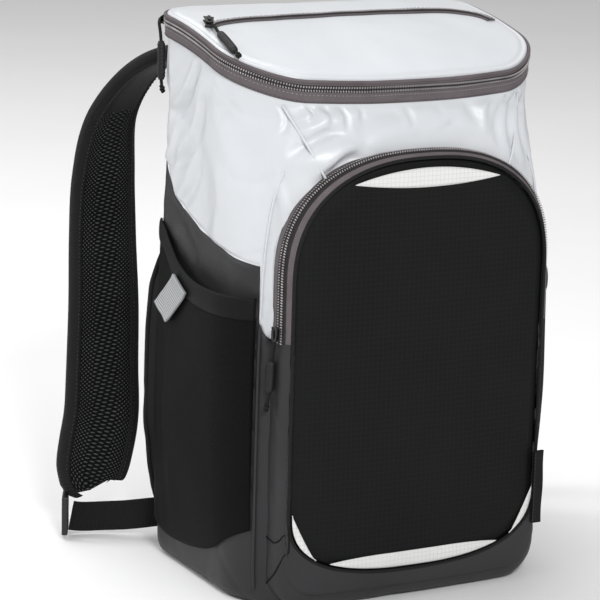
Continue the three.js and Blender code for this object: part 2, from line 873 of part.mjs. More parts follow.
// Piping up the front seam of each side
const weltPlace = sideFront - weltRadius - seamGap * 2;
const weltPath = [];
for (let i = 0; i <= 8; i += 1) {
  const z = bagHeight * mix(0.12, 0.615, i / 8);
  const p = sidePoint(weltPlace, z, weltRadius + seamGap);
  weltPath.push(vec(...p));
}
const weltLeft = cord(weltPath, weltRadius, 6);

// White seams from the lid corners to the arch
const frontSeamRows = [
  { across: 0.770, height: 0.884 },
  { across: 0.735, height: 0.860 },
  { across: 0.700, height: 0.835 },
  { across: 0.665, height: 0.810 },
  { across: 0.635, height: 0.788 },
];
const seamRadius = 1.3;
const frontSeamPath = frontSeamRows.map((row) => {
  const p = frontPoint(-row.across * bagHalfWidth, row.height * bagHeight, seamRadius + seamGap + 0.3);
  return vec(...p);
});
const frontSeamLeft = cord(frontSeamPath, seamRadius, 6);

// Back panel with wings that wrap the lower back corners
const backRows = [
  { height: 0.030, width: 0.860 },
  { height: 0.060, width: 0.900 },
  { height: 0.100, width: 0.945 },
  { height: 0.160, width: 0.975 },
  { height: 0.250, width: 1.000 },
  { height: 0.420, width: 1.000 },
  { height: 0.500, width: 0.985 },
  { height: 0.545, width: 0.940 },
  { height: 0.585, width: 0.880 },
  { height: 0.640, width: 0.850 },
  { height: 0.740, width: 0.830 },
  { height: 0.790, width: 0.800 },
  { height: 0.820, width: 0.720 },
  { height: 0.836, width: 0.560 },
];
const backDepths = [
  { y: -0.75, inset: 0.075 },
  { y: -0.60, inset: 0.000 },
  { y: 0.45, inset: 0.000 },
  { y: 0.80, inset: 0.200 },
  { y: 1.00, inset: 0.600 },
];
const backScale = backPanelTop / (0.836 * bagHeight);

function backOutline(inset, y) {
  const right = backRows.map((row, i) => {
    const last = i === backRows.length - 1;
    const low = i === 0 ? inset : 0;
    const shift = last ? -inset : low;
    return [wingHalfWidth * row.width - inset, y, row.height * bagHeight * backScale + shift];
  });
  const left = right.slice().reverse().map((p) => [-p[0], p[1], p[2]]);
  return [...right, ...left];
}
function backSolid(grow) {
  const last = backDepths.length - 1;
  return solidOf(loftRings(backDepths.map((row, i) => {
    const shift = i === 0 ? -grow : (i === last ? grow : 0);
    return backOutline(row.inset * backPad - grow, backReach + row.y * backPad + shift);
  })));
}
const backCutter = wallSolid(wingGap, -floorThickness);
const backPanel = backSolid(0).subtract(backCutter);

// Shoulder strap: a padded ribbon from the back of the bag down and out to the buckle
const strapRows = [
  { out: 0.482, back: 0.022, height: 0.894, width: 0.80, turn: 32 },
  { out: 0.584, back: 0.237, height: 0.917, width: 0.84, turn: 34 },
  { out: 0.723, back: 0.516, height: 0.910, width: 0.90, turn: 34 },
  { out: 0.854, back: 0.796, height: 0.863, width: 0.96, turn: 32 },
  { out: 0.974, back: 0.968, height: 0.778, width: 1.00, turn: 25 },
  { out: 1.007, back: 1.011, height: 0.670, width: 0.99, turn: 10 },
  { out: 1.029, back: 0.946, height: 0.551, width: 0.98, turn: 0 },
  { out: 1.044, back: 0.860, height: 0.427, width: 1.03, turn: 0 },
  { out: 1.077, back: 0.763, height: 0.310, width: 1.06, turn: 0 },
  { out: 1.106, back: 0.677, height: 0.225, width: 1.10, turn: 0 },
  { out: 1.161, back: 0.613, height: 0.162, width: 1.10, turn: 0 },
  { out: 1.204, back: 0.570, height: 0.119, width: 1.03, turn: 0 },
  { out: 1.219, back: 0.548, height: 0.098, width: 0.84, turn: 0 },
  { out: 1.208, back: 0.538, height: 0.085, width: 0.54, turn: 0 },
];

function strapPlace(row) {
  return vec(-row.out * bagHalfWidth, backReach + row.back * strapReach, row.height * bagHeight);
}

function strapFrames() {
  const centres = strapRows.map(strapPlace);
  return strapRows.map((row, i) => {
    const before = centres[Math.max(0, i - 1)];
    const after = centres[Math.min(centres.length - 1, i + 1)];
    const along = new THREE.Vector3().subVectors(after, before).normalize();
    const turn = THREE.MathUtils.degToRad(row.turn);
    const across = vec(Math.cos(turn), Math.sin(turn), 0);
    across.addScaledVector(along, -across.dot(along)).normalize();
    const face = new THREE.Vector3().crossVectors(along, across).normalize();
    return { centre: centres[i], across, face, width: strapWidth * row.width };
  });
}

function strapRing(frame) {
  const half = frame.width / 2;
  const thick = strapThickness / 2;
  const profile = [
    [-1, 0.3], [-0.93, 0.85], [-0.45, 1], [0.45, 1], [0.93, 0.85], [1, 0.3],
    [1, -0.3], [0.93, -0.85], [0.45, -1], [-0.45, -1], [-0.93, -0.85], [-1, -0.3],
  ];
  return profile.map(([a, b]) => {
    const p = frame.centre.clone();
    p.addScaledVector(frame.across, a * half);
    p.addScaledVector(frame.face, b * thick);
    return p.toArray();
  });
}
const frames = strapFrames();
const strapRaw = loftRings(frames.map(strapRing));
const backClear = backSolid(seamGap);

function clearOfBack(geometry) {
  return geometryOf(solidOf(geometry).subtract(backCutter).subtract(backClear));
}
const strapLeft = clearOfBack(strapRaw);
const strapRight = clearOfBack(mirrored(strapRaw));

// Lower webbing from the bag's lower back corner to the buckle
function ribbon(points, width, thickness, acrossHint) {
  const rings = points.map((p, i) => {
    const before = points[Math.max(0, i - 1)];
    const after = points[Math.min(points.length - 1, i + 1)];
    const along = new THREE.Vector3().subVectors(after, before).normalize();
    const across = acrossHint.clone().addScaledVector(along, -acrossHint.dot(along)).normalize();
    const face = new THREE.Vector3().crossVectors(along, across).normalize();
    return [[-1, -1], [1, -1], [1, 1], [-1, 1]].map(([a, b]) => {
      const q = p.clone();
      q.addScaledVector(across, a * width / 2);
      q.addScaledVector(face, b * thickness / 2);
      return q.toArray();
    });
  });
  return loftRings(rings);
}
const webbingRows = [
  { out: 0.818, back: 0.097, height: 0.0539 },
  { out: 0.934, back: 0.183, height: 0.0483 },
  { out: 1.051, back: 0.312, height: 0.0404 },
  { out: 1.168, back: 0.430, height: 0.0360 },
  { out: 1.277, back: 0.495, height: 0.0348 },
  { out: 1.349, back: 0.516, height: 0.0382 },
];
const webbingPath = webbingRows.map(strapPlace);
const webbingRaw = ribbon(webbingPath, webbingWidth, webbingThickness, vec(0, 0, 1));
const webbingLeft = clearOfBack(webbingRaw);
const webbingRight = clearOfBack(mirrored(webbingRaw));

// Ladder lock buckle: a frame with two bars, in one piece
function buckleGeometry() {
  const shape = new THREE.Shape();
  const w = buckleWidth / 2;
  const h = buckleHeight / 2;
  const c = buckleCorner;
  shape.moveTo(-w + c, -h);
  shape.lineTo(w - c, -h);
  shape.lineTo(w, -h + c);
  shape.lineTo(w, h - c);
  shape.lineTo(w - c, h);
  shape.lineTo(-w + c, h);
  shape.lineTo(-w, h - c);
  shape.lineTo(-w, -h + c);
  shape.closePath();
  const slotHalf = w - buckleBar;
  const slotLow = h - buckleBar - buckleSlot;
  for (const [low, high] of [[slotLow, slotLow + buckleSlot], [-slotLow - buckleSlot, -slotLow]]) {
    const slot = new THREE.Path();
    slot.moveTo(-slotHalf, low);
    slot.lineTo(slotHalf, low);
    slot.lineTo(slotHalf, high);
    slot.lineTo(-slotHalf, high);
    slot.closePath();
    shape.holes.push(slot);
  }
  const geometry = new THREE.ExtrudeGeometry(shape, { depth: buckleThickness, bevelEnabled: false });
  geometry.translate(0, 0, -buckleThickness / 2);
  return geometry;
}
const buckleLeft = buckleGeometry();
buckleLeft.rotateZ(Math.PI / 2);
buckleLeft.rotateX(Math.PI / 2);
buckleLeft.rotateZ(Math.PI / 2 - 0.45);
const webbingEnd = webbingPath[webbingPath.length - 1];
const buckleX = webbingEnd.x - seamGap - buckleThickness;
buckleLeft.translate(buckleX, webbingEnd.y + 1, webbingEnd.z + 3.5);

// Blank label folded round the right edge of the pocket panel
const labelGeometry = new THREE.BoxGeometry(labelWidth, labelThickness, labelHeight);
const labelX = panelHalf + (panelPipingRadius + seamGap) * 2 + labelWidth / 2;
labelGeometry.translate(labelX, -pocketReach + labelThickness, pocketTop * 0.29);

// Zip pulls: slider, cord, tube and knot joined in one piece
function pullSolid(points, tubeFrom, tubeTo, sliderSize, sliderTurn) {
  const curve = new THREE.CatmullRomCurve3(points);
  let solid = solidOf(cord(curve.getPoints(9), pullCordRadius, 5));
  const tube = [0, 0.5, 1].map((t) => curve.getPoint(mix(tubeFrom, tubeTo, t)));
  solid = solid.add(solidOf(cord(tube, pullTubeRadius, 7)));
  const knot = new THREE.SphereGeometry(pullKnotRadius, 7, 5);
  knot.translate(...points[points.length - 1].toArray());
  solid = solid.add(solidOf(knot));
  const slider = new THREE.BoxGeometry(...sliderSize);
  slider.rotateZ(sliderTurn);
  slider.translate(...points[0].toArray());
  return solid.add(solidOf(slider));
}

const zipTopLift = tapeRise + coilRise + seamGap;
const sliderOut = zipTopLift + sliderThick / 2;
const hangOut = pullTubeRadius + seamGap * 3;

// Pull of the main zip: its slider at the left back corner, its cord hanging down the side
const lidPullRows = [
  { turn: 1.50, out: 1.0, drop: 0.00 },
  { turn: 1.56, out: 1.6, drop: 0.02 },
  { turn: 1.66, out: 1.1, drop: 0.22 },
  { turn: 1.70, out: 0.9, drop: 0.50 },
  { turn: 1.70, out: 0.9, drop: 0.86 },
  { turn: 1.72, out: 0.9, drop: 1.00 },
];
const lidPullTop = outlinePoint(sectionAt(bagHeight), 10 - lidPullRows[0].turn, sliderOut);
const lidPullZ = lidHeight(lidPullTop[1]) - tapeLine - zipCoilHeight / 2;
const lidPull = pullSolid(
  lidPullRows.map((row) => {
    const z = lidPullZ - row.drop * pullLength;
    return vec(...outlinePoint(sectionAt(z), 10 - row.turn, row.out * sliderOut));
  }),
  0.36, 0.84,
  [sliderThick, sliderLength, sliderWidth],
  -Math.PI / 4,
);

// Pull of the lid pocket, lying on the lid
const lidPullAlong = [
  { across: -0.010, along: 0.06, rise: 1.25 },
  { across: -0.010, along: -0.12, rise: 1.12 },
  { across: -0.016, along: -0.30, rise: 0.88 },
  { across: -0.024, along: -0.60, rise: 0.80 },
  { across: -0.030, along: -0.92, rise: 0.80 },
  { across: -0.032, along: -1.05, rise: 0.80 },
];
const lidZipEnd = lidZipPath.getPoint(0);
const lidPocketPull = pullSolid(
  lidPullAlong.map((row) => {
    const x = lidZipEnd.x + row.across * bagHalfWidth;
    const y = lidZipEnd.y + row.along * pullLength;
    return vec(x, y, lidTop(x, y) + row.rise * (zipTopLift + seamGap * 3 + sliderThick / 2));
  }),
  0.36, 0.86,
  [sliderWidth, sliderLength, sliderThick],
  0,
);

// Pull of the front pocket: slider at the left end of its zip, cord hanging in front of the wall
const pocketPullRows = [
  { out: 1.00, forward: 0.905, drop: -0.14 },
  { out: 1.12, forward: 0.880, drop: 0.10 },
  { out: 1.20, forward: 0.860, drop: 0.30 },
  { out: 1.20, forward: 0.850, drop: 0.52 },
  { out: 1.35, forward: 0.850, drop: 0.74 },
  { out: 1.70, forward: 0.840, drop: 0.95 },
];
const pocketPull = pullSolid(
  pocketPullRows.map((row) => {
    const x = -pocketHalfWidth - row.out * sliderOut;
    const z = pocketZipEnd - row.drop * pullLength;
    const wallY = frontPoint(x, z, hangOut)[1];
    return vec(x, Math.min(-row.forward * pocketReach, wallY), z);
  }),
  0.38, 0.78,
  [sliderThick, sliderWidth, sliderLength],
  0,
);
const lidPocketTape = stripOnLid(lidZipHalf, seamGap * 2, tapeRise, 14);
const lidPocketCoil = stripOnLid(lidZipHalf * 0.4, seamGap * 3 + tapeRise, coilRise, 14);

const group = new THREE.Group();

function add(name, geometry, colour, roughness) {
  geometry.computeVertexNormals();
  const material = new THREE.MeshStandardMaterial({ color: colour, roughness, metalness: 0 });
  const mesh = new THREE.Mesh(geometry, material);
  mesh.name = name;
  group.add(mesh);
}

const white = 0xe9ebee;
const grey = 0x3d3d40;
const black = 0x1e1f21;
const tape = 0x6e6567;
const silver = 0xa5a7a9;

add('body_upper', geometryOf(upperWalls), white, 0.45);
add('body_lower', geometryOf(lowerWalls), grey, 0.6);
add('lid', geometryOf(lidSolid), white, 0.42);
add('lid_piping', cord(lidPipingPath, lidPipingRadius, 5, true), tape, 0.8);
add('lid_zip_tape_upper', geometryOf(upperTape), tape, 0.8);
add('lid_zip_coil', geometryOf(zipCoil), black, 0.5);
add('lid_zip_tape_lower', geometryOf(lowerTape), tape, 0.8);
add('lid_zip_pull', geometryOf(lidPull), black, 0.6);
add('lid_pocket_tape', lidPocketTape, tape, 0.8);
add('lid_pocket_coil', lidPocketCoil, black, 0.5);
add('lid_pocket_pull', geometryOf(lidPocketPull), black, 0.6);
add('back_panel', geometryOf(backPanel), black, 0.95);
add('left_side_pocket', sidePocketLeft, black, 0.95);
add('right_side_pocket', mirrored(sidePocketLeft), black, 0.95);
add('left_pocket_rim', rimLeft, black, 0.8);
add('right_pocket_rim', mirrored(rimLeft), black, 0.8);
add('left_side_tab', tabLeft, silver, 0.7);
add('right_side_tab', mirrored(tabLeft), silver, 0.7);
add('left_side_welt', weltLeft, grey, 0.6);
add('right_side_welt', mirrored(weltLeft), grey, 0.6);
add('pocket_gusset', geometryOf(gusset), grey, 0.6);
add('pocket_panel', panelGeometry, black, 0.75);
add('panel_piping', cord(panelPipingPath, panelPipingRadius, 5, true), black, 0.7);
add('inset_top', insetTop, white, 0.6);
add('inset_bottom', insetBottom, white, 0.6);
add('inset_left', insetLeft, white, 0.6);
add('inset_right', insetRight, white, 0.6);
add('pocket_tape_outer', geometryOf(outerTape), grey, 0.8);
add('pocket_coil', geometryOf(pocketCoil), black, 0.5);
add('pocket_tape_inner', geometryOf(innerTape), tape, 0.8);
add('pocket_zip_pull', geometryOf(pocketPull), black, 0.6);
add('left_front_seam', frontSeamLeft, white, 0.5);
add('right_front_seam', mirrored(frontSeamLeft), white, 0.5);
add('seam_label', labelGeometry, black, 0.8);
add('left_strap', strapLeft, black, 0.95);
add('right_strap', strapRight, black, 0.95);
add('left_strap_webbing', webbingLeft, black, 0.8);
add('right_strap_webbing', webbingRight, black, 0.8);

add('left_buckle', buckleLeft, black, 0.4);
add('right_buckle', mirrored(buckleLeft), black, 0.4);

export default group;
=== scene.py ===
# Cooler backpack: fabrics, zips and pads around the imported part
# Metres, +Z up, the front pocket towards -Y, origin on the floor under the bag

import json
import math

import bmesh
import bpy
from mathutils import Matrix, Vector, noise
from mathutils.bvhtree import BVHTree

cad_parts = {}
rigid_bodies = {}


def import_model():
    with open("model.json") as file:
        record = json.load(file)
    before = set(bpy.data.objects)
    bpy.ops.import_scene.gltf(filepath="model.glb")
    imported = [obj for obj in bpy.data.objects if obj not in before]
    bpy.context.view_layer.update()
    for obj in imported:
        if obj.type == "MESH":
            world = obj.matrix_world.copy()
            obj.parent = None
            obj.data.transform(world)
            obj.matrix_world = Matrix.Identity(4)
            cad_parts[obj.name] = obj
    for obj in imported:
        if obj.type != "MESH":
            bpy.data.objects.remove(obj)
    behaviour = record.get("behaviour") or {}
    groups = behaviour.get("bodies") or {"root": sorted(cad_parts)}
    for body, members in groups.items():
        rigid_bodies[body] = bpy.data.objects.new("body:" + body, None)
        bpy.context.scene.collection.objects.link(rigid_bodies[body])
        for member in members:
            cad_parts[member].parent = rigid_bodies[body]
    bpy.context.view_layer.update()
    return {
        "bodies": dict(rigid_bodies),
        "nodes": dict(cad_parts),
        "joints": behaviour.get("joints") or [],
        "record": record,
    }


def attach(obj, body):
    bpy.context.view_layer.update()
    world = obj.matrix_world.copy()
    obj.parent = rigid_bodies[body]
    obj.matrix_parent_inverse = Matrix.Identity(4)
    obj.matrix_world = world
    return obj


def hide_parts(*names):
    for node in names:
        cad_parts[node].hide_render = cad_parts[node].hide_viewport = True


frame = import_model()
scene = bpy.context.scene
print("frame loaded:", len(frame["nodes"]), "nodes")


# Numbers and tables

def mix(a, b, t):
    return a + (b - a) * t


def clamp(value, low=0.0, high=1.0):
    return max(low, min(high, value))


def smoothStep(low, high, value):
    t = clamp((value - low) / (high - low))
    return t * t * (3 - 2 * t)


def hill(value, middle, width):
    return math.exp(-((value - middle) / width) ** 2)


def readTable(rows, key, column):  # a smooth curve through the rows, keys in the first column
    last = len(rows) - 1
    if key <= rows[0][0]:
        return rows[0][column]
    if key >= rows[last][0]:
        return rows[last][column]
    i = 0
    while rows[i + 1][0] < key:
        i += 1
    low, high = rows[i], rows[i + 1]
    span = high[0] - low[0]
    t = (key - low[0]) / span

    def slope(k):
        a, b = rows[max(0, k - 1)], rows[min(last, k + 1)]
        return (b[column] - a[column]) / (b[0] - a[0]) * span

    t2, t3 = t * t, t * t * t
    return ((2 * t3 - 3 * t2 + 1) * low[column] + (t3 - 2 * t2 + t) * slope(i)
            + (3 * t2 - 2 * t3) * high[column] + (t3 - t2) * slope(i + 1))


def cloudy(point, scale, seed=0.0):  # smooth noise from -1 to 1
    return noise.noise(Vector(point) * scale + Vector((seed, seed * 1.7, -seed)))


# Meshes: a grid or tube made by bmesh, each point then placed by a function

def emptyPiece(name, data):
    piece = bpy.data.objects.new(name, data)
    scene.collection.objects.link(piece)
    return piece


def closePiece(mesh, name, material, slotName, nodes=(), wall=0.0, rounds=0, weld=0.0, flip=False):
    if weld > 0:
        bmesh.ops.remove_doubles(mesh, verts=mesh.verts, dist=weld)
        thin = [f for f in mesh.faces if f.calc_area() < 1e-12]
        bmesh.ops.delete(mesh, geom=thin, context="FACES")
    if flip:
        bmesh.ops.reverse_faces(mesh, faces=mesh.faces)
    data = bpy.data.meshes.new(name)
    mesh.to_mesh(data)
    mesh.free()
    data.materials.append(material)
    data.shade_smooth()
    piece = emptyPiece(name, data)
    if wall:
        solid = piece.modifiers.new("wall", "SOLIDIFY")
        solid.thickness = wall
        solid.offset = -1.0
        solid.use_even_offset = False
    if rounds:
        soft = piece.modifiers.new("soft", "SUBSURF")
        soft.levels = rounds
        soft.render_levels = rounds
    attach(piece, "root")
    if nodes:
        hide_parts(*nodes)
    return piece


def gridMesh(columns, rows, place, size=(1.0, 1.0), uvOf=None):
    mesh = bmesh.new()
    layer = mesh.loops.layers.uv.new("cloth")
    bmesh.ops.create_grid(mesh, x_segments=columns, y_segments=rows, size=0.5, calc_uvs=True)
    for face in mesh.faces:
        for loop in face.loops:
            u, v = loop.vert.co.x + 0.5, loop.vert.co.y + 0.5
            loop[layer].uv = uvOf(u, v) if uvOf else (u * size[0], v * size[1])
    for vert in mesh.verts:
        vert.co = place(clamp(vert.co.x + 0.5), clamp(vert.co.y + 0.5))
    return mesh


def reachAlong(points):  # distance from the first point to each one
    reach = [0.0]
    for p, q in zip(points, points[1:]):
        reach.append(reach[-1] + (q - p).length)
    return reach


def smoothPath(points, count, closed=False):  # evenly spaced points on a smooth curve
    pts = [Vector(p) for p in points]
    last = len(pts)
    fine = []
    steps = 12
    for i in range(last if closed else last - 1):
        if closed:
            a, b, c, d = (pts[(i + k) % last] for k in (-1, 0, 1, 2))
        else:
            a, b, c, d = (pts[min(last - 1, max(0, i + k))] for k in (-1, 0, 1, 2))
        for k in range(steps):
            t = k / steps
            fine.append(0.5 * (2 * b + (c - a) * t + (2 * a - 5 * b + 4 * c - d) * t * t
                               + (3 * b - a - 3 * c + d) * t ** 3))
    fine.append(pts[0].copy() if closed else pts[-1].copy())
    reach = reachAlong(fine)
    even = []
    k = 0
    for i in range(count):
        want = reach[-1] * i / (count if closed else count - 1)
        while k < len(fine) - 2 and reach[k + 1] < want:
            k += 1
        part = (want - reach[k]) / max(1e-9, reach[k + 1] - reach[k])
        even.append(fine[k].lerp(fine[k + 1], clamp(part)))
    return even, reach[-1]


def pathFrames(path, closed=False):  # point, direction, side and up at each place on a path
    count = len(path)
    side = None
    frames = []
    for i in range(count):
        before = path[(i - 1) % count if closed else max(0, i - 1)]
        after = path[(i + 1) % count if closed else min(count - 1, i + 1)]
        along = (after - before).normalized()
        if side is None:
            side = Vector((1, 0, 0)) if abs(along.z) > 0.9 else Vector((0, 0, 1))
        side = (side - along * side.dot(along)).normalized()
        frames.append((path[i], along, side, along.cross(side)))
    return frames


def tubeMesh(path, radius, sides=10, closed=False, flat=1.0):
    frames = pathFrames(path, closed)
    length = sum((b - a).length for a, b in zip(path, path[1:]))
    rows = len(path) if closed else len(path) - 1

    def place(u, v):
        i = round(v * rows)
        point, along, side, up = frames[i % len(frames)]
        r = radius(i / rows) if callable(radius) else radius
        if not closed and i in (0, rows):
            r *= 0.02
        angle = 2 * math.pi * u
        return point + side * (r * math.cos(angle)) + up * (r * flat * math.sin(angle))

    return gridMesh(sides, rows, place, size=(0.008, length))


def tubePiece(name, path, radius, material, slotName, nodes=(), sides=10, closed=False, flat=1.0):
    mesh = tubeMesh(path, radius, sides, closed, flat)
    bmesh.ops.remove_doubles(mesh, verts=mesh.verts, dist=2e-5)
    bmesh.ops.recalc_face_normals(mesh, faces=mesh.faces)
    return closePiece(mesh, name, material, slotName, nodes)


def laidFrames(place, pitch, start=0.0, end=1.0):
    # even steps along a line that a function lays on a surface: place(share, rise)
    reach = reachAlong([place(mix(start, end, k / 240), 0.0) for k in range(241)])
    count = max(2, int(reach[-1] / pitch))
    frames, k = [], 0
    for i in range(count + 1):
        want = reach[-1] * i / count
        while k < 239 and reach[k + 1] < want:
            k += 1
        t = mix(start, end, (k + clamp((want - reach[k]) / max(1e-9, reach[k + 1] - reach[k]))) / 240)
        point = place(t, 0.0)
        along = (place(min(end, t + 0.002), 0.0) - place(max(start, t - 0.002), 0.0)).normalized()
        face = place(t, 0.002) - point
        face = (face - along * face.dot(along)).normalized()
        frames.append((point, along, face.cross(along), face))
    return frames


def laidPieces(name, frames, rows, material, slotName, nodes, size, lift=0.0):
    # one small rounded bead copied along a row: zip teeth and stitches
    mesh = bmesh.new()
    mesh.loops.layers.uv.new("cloth")
    for point, along, across, face in frames:
        turn = Matrix((along, across, face)).transposed().to_4x4()
        for shift, lean in rows:
            place = Matrix.Translation(point + across * shift + face * lift)
            spin = Matrix.Rotation(lean, 4, "Z") @ Matrix.Diagonal((*size, 1.0))
            bmesh.ops.create_icosphere(mesh, subdivisions=1, radius=0.5, matrix=place @ turn @ spin)
    return closePiece(mesh, name, material, slotName, nodes)


def stitches(name, place, thread, slotName, rows=((0.0, 0.0),), start=0.0, end=1.0, pitch=0.0034):
    frames = laidFrames(place, pitch, start, end)
    return laidPieces(name, frames, rows, thread, slotName, (), (0.0023, 0.0006, 0.0005), 0.00015)


# Materials

def newMaterial(name, roughness=0.6, **sockets):
    material = bpy.data.materials.new(name)
    material.use_nodes = True
    shader = material.node_tree.nodes["Principled BSDF"]
    shader.inputs["Roughness"].default_value = roughness
    for socket, value in sockets.items():
        shader.inputs[socket.replace("_", " ")].default_value = value
    return material


def node(material, kind, inputs=(), **settings):
    made = material.node_tree.nodes.new("ShaderNode" + kind)
    for key, value in settings.items():
        setattr(made, key, value)
    for key, value in dict(inputs).items():
        if isinstance(value, bpy.types.NodeSocket):
            material.node_tree.links.new(value, made.inputs[key])
        else:
            made.inputs[key].default_value = value
    return made


def toShader(material, socket, output):
    shader = material.node_tree.nodes["Principled BSDF"]
    material.node_tree.links.new(output, shader.inputs[socket])


def clothPlace(material, scale, useUv=True, turn=(0, 0, 0)):
    coords = node(material, "TexCoord")
    source = coords.outputs["UV" if useUv else "Object"]
    return node(material, "Mapping", {"Vector": source, "Scale": scale, "Rotation": turn}).outputs[0]


def maths(material, operation, first, second=0.0):
    return node(material, "Math", {0: first, 1: second}, operation=operation).outputs[0]


def ramp(material, value, stops):
    made = node(material, "ValToRGB", {"Fac": value})
    points = made.color_ramp.elements
    while len(points) < len(stops):
        points.new(0.5)
    for point, (place, colour) in zip(points, stops):
        point.position = place
        point.color = (*colour, 1)
    return made.outputs[0]


def waves(material, place, direction="X", shape="SIN"):
    return node(material, "TexWave", {"Vector": place, "Scale": 1.0, "Distortion": 0.0},
                bands_direction=direction, wave_profile=shape).outputs["Fac"]


def bumped(material, parts):  # parts: height, distance, strength
    normal = None
    for height, distance, strength in parts:
        inputs = {"Height": height, "Distance": distance, "Strength": strength}
        if normal is not None:
            inputs["Normal"] = normal
        normal = node(material, "Bump", inputs).outputs[0]
    toShader(material, "Normal", normal)


def tint(material, low, high, scale, detail=3.0):  # uneven colour over the cloth
    place = clothPlace(material, (1, 1, 1), False)
    soft = node(material, "TexNoise", {"Vector": place, "Scale": scale, "Detail": detail}).outputs["Fac"]
    return ramp(material, soft, [(0.3, low), (0.7, high)]), soft


def weave(material, pitch):  # plain weave height from two crossed waves
    step = 2 * math.pi / (20 * pitch)  # a wave texture repeats every 2 pi / 20
    place = clothPlace(material, (step, step, step))
    across = waves(material, place, "X")
    along = waves(material, place, "Y")
    return maths(material, "MULTIPLY", across, along)


def coatedCloth(name, low, high, roughness, pitch, strength):
    material = newMaterial(name, roughness, Coat_Weight=0.12, Coat_Roughness=0.35)
    colour, soft = tint(material, low, high, 9.0)
    threads = weave(material, pitch)
    place = clothPlace(material, (1, 1, 1), False)
    folds = node(material, "TexNoise", {"Vector": place, "Scale": 26.0, "Detail": 4.0}).outputs["Fac"]
    toShader(material, "Base Color", colour)
    toShader(material, "Roughness", node(material, "MapRange", {"Value": soft, "To Min": roughness - 0.05,
                                                                "To Max": roughness + 0.08}).outputs[0])
    bumped(material, [(folds, 0.002, 0.35), (threads, 0.0002, strength)])
    return material


whiteCloth = coatedCloth("whiteCoatedCloth", (0.590, 0.608, 0.632), (0.635, 0.652, 0.676), 0.32, 0.0007, 0.2)
greyCloth = coatedCloth("greyCoatedCloth", (0.024, 0.024, 0.0255), (0.032, 0.032, 0.034), 0.46, 0.0008, 0.5)
blackCloth = coatedCloth("blackNylon", (0.0034, 0.0034, 0.0037), (0.0054, 0.0054, 0.0058), 0.60, 0.0009, 0.6)
for cloth, shine in ((greyCloth, 0.26), (blackCloth, 0.16)):
    cloth.node_tree.nodes["Principled BSDF"].inputs["Specular IOR Level"].default_value = shine
    cloth.node_tree.nodes["Principled BSDF"].inputs["Coat Weight"].default_value = 0.0


def makeRipstop(name, low, high, line, pitch, relief, **sockets):
    material = newMaterial(name, 0.6, **sockets)
    colour = tint(material, low, high, 14.0)[0]
    cell = 2 * math.pi / (20 * pitch)
    place = clothPlace(material, (cell, cell, cell))
    lines = []
    for direction in "XY":
        lines.append(maths(material, "GREATER_THAN", waves(material, place, direction), 0.955))
    grid = maths(material, "MAXIMUM", *lines)
    mixed = node(material, "Mix", {"Factor": grid, 6: colour, 7: (*line, 1)}, data_type="RGBA")
    toShader(material, "Base Color", mixed.outputs[2])
    place = clothPlace(material, (1, 1, 1), False)
    soft = node(material, "TexNoise", {"Vector": place, "Scale": 60.0, "Detail": 3.0}).outputs["Fac"]
    bumped(material, [(soft, 0.0008, relief), (grid, 0.0002, 0.4), (weave(material, 0.0009), 0.0002, 0.4)])
    return material


def makeMesh(name, cell, dark, light, depth, spot=0.36):
    # round knots of thread in slanting rows; the gaps are painted dark as shade in the holes and the knots
    # painted lighter as a highlight
    material = newMaterial(name, 0.7, Specular_IOR_Level=0.11)
    place = clothPlace(material, (1 / cell, 1 / cell, 1 / cell), True, (0, 0, 0.87))
    knots = node(material, "TexVoronoi", {"Vector": place, "Scale": 1.0, "Randomness": 0.0},
                 voronoi_dimensions="2D", feature="F1").outputs["Distance"]
    overall = clothPlace(material, (1, 1, 1), False)
    uneven = node(material, "TexNoise", {"Vector": overall, "Scale": 30.0}).outputs["Fac"]
    shifted = maths(material, "ADD", knots, maths(material, "MULTIPLY", uneven, 0.10))
    # painted shade in the holes between knots, painted highlight on the knots
    toShader(material, "Base Color", ramp(material, shifted, [(spot - 0.12, light), (spot + 0.10, dark)]))
    bumped(material, [(ramp(material, knots, [(0.1, (1, 1, 1)), (0.62, (0, 0, 0))]), depth, 0.9)])
    return material


def makeTape(name, low, high, ribs):
    material = newMaterial(name, 0.78, Specular_IOR_Level=0.25)
    colour = tint(material, low, high, 60.0)[0]
    step = 2 * math.pi / (20 * ribs)
    place = clothPlace(material, (step, step, step), True, (0, 0, 0.9))
    back = clothPlace(material, (step, step, step), True, (0, 0, -0.9))
    twill = maths(material, "MULTIPLY", waves(material, place), waves(material, back))
    darker = (*[c * 0.72 for c in low], 1)
    shade = node(material, "Mix", {"Factor": twill, 6: colour, 7: darker}, data_type="RGBA")
    toShader(material, "Base Color", shade.outputs[2])
    bumped(material, [(twill, 0.0003, 0.6)])
    return material


def makeRibbed(name, low, high, pitch, roughness=0.7):
    material = newMaterial(name, roughness, Specular_IOR_Level=0.25)
    step = 2 * math.pi / (20 * pitch)
    place = clothPlace(material, (step, step, step))
    rib = waves(material, place, "Y")
    fine = waves(material, clothPlace(material, (step * 1.9, step * 1.9, step)), "X")
    both = maths(material, "MULTIPLY", rib, maths(material, "ADD", fine, 0.5))
    # colour follows the rib height: painted shade in the grooves, lighter crests as painted highlight
    toShader(material, "Base Color", ramp(material, both, [(0.1, low), (0.8, high)]))
    bumped(material, [(both, 0.0006, 0.7)])
    return material


def makePlain(name, low, high, roughness, scale=40.0, grain=0.2, **sockets):
    material = newMaterial(name, roughness, **sockets)
    colour = tint(material, low, high, scale)[0]
    place = clothPlace(material, (1, 1, 1), False)
    fine = node(material, "TexNoise", {"Vector": place, "Scale": scale * 30, "Detail": 2.0}).outputs["Fac"]
    toShader(material, "Base Color", colour)
    bumped(material, [(fine, 0.0002, grain)])
    return material


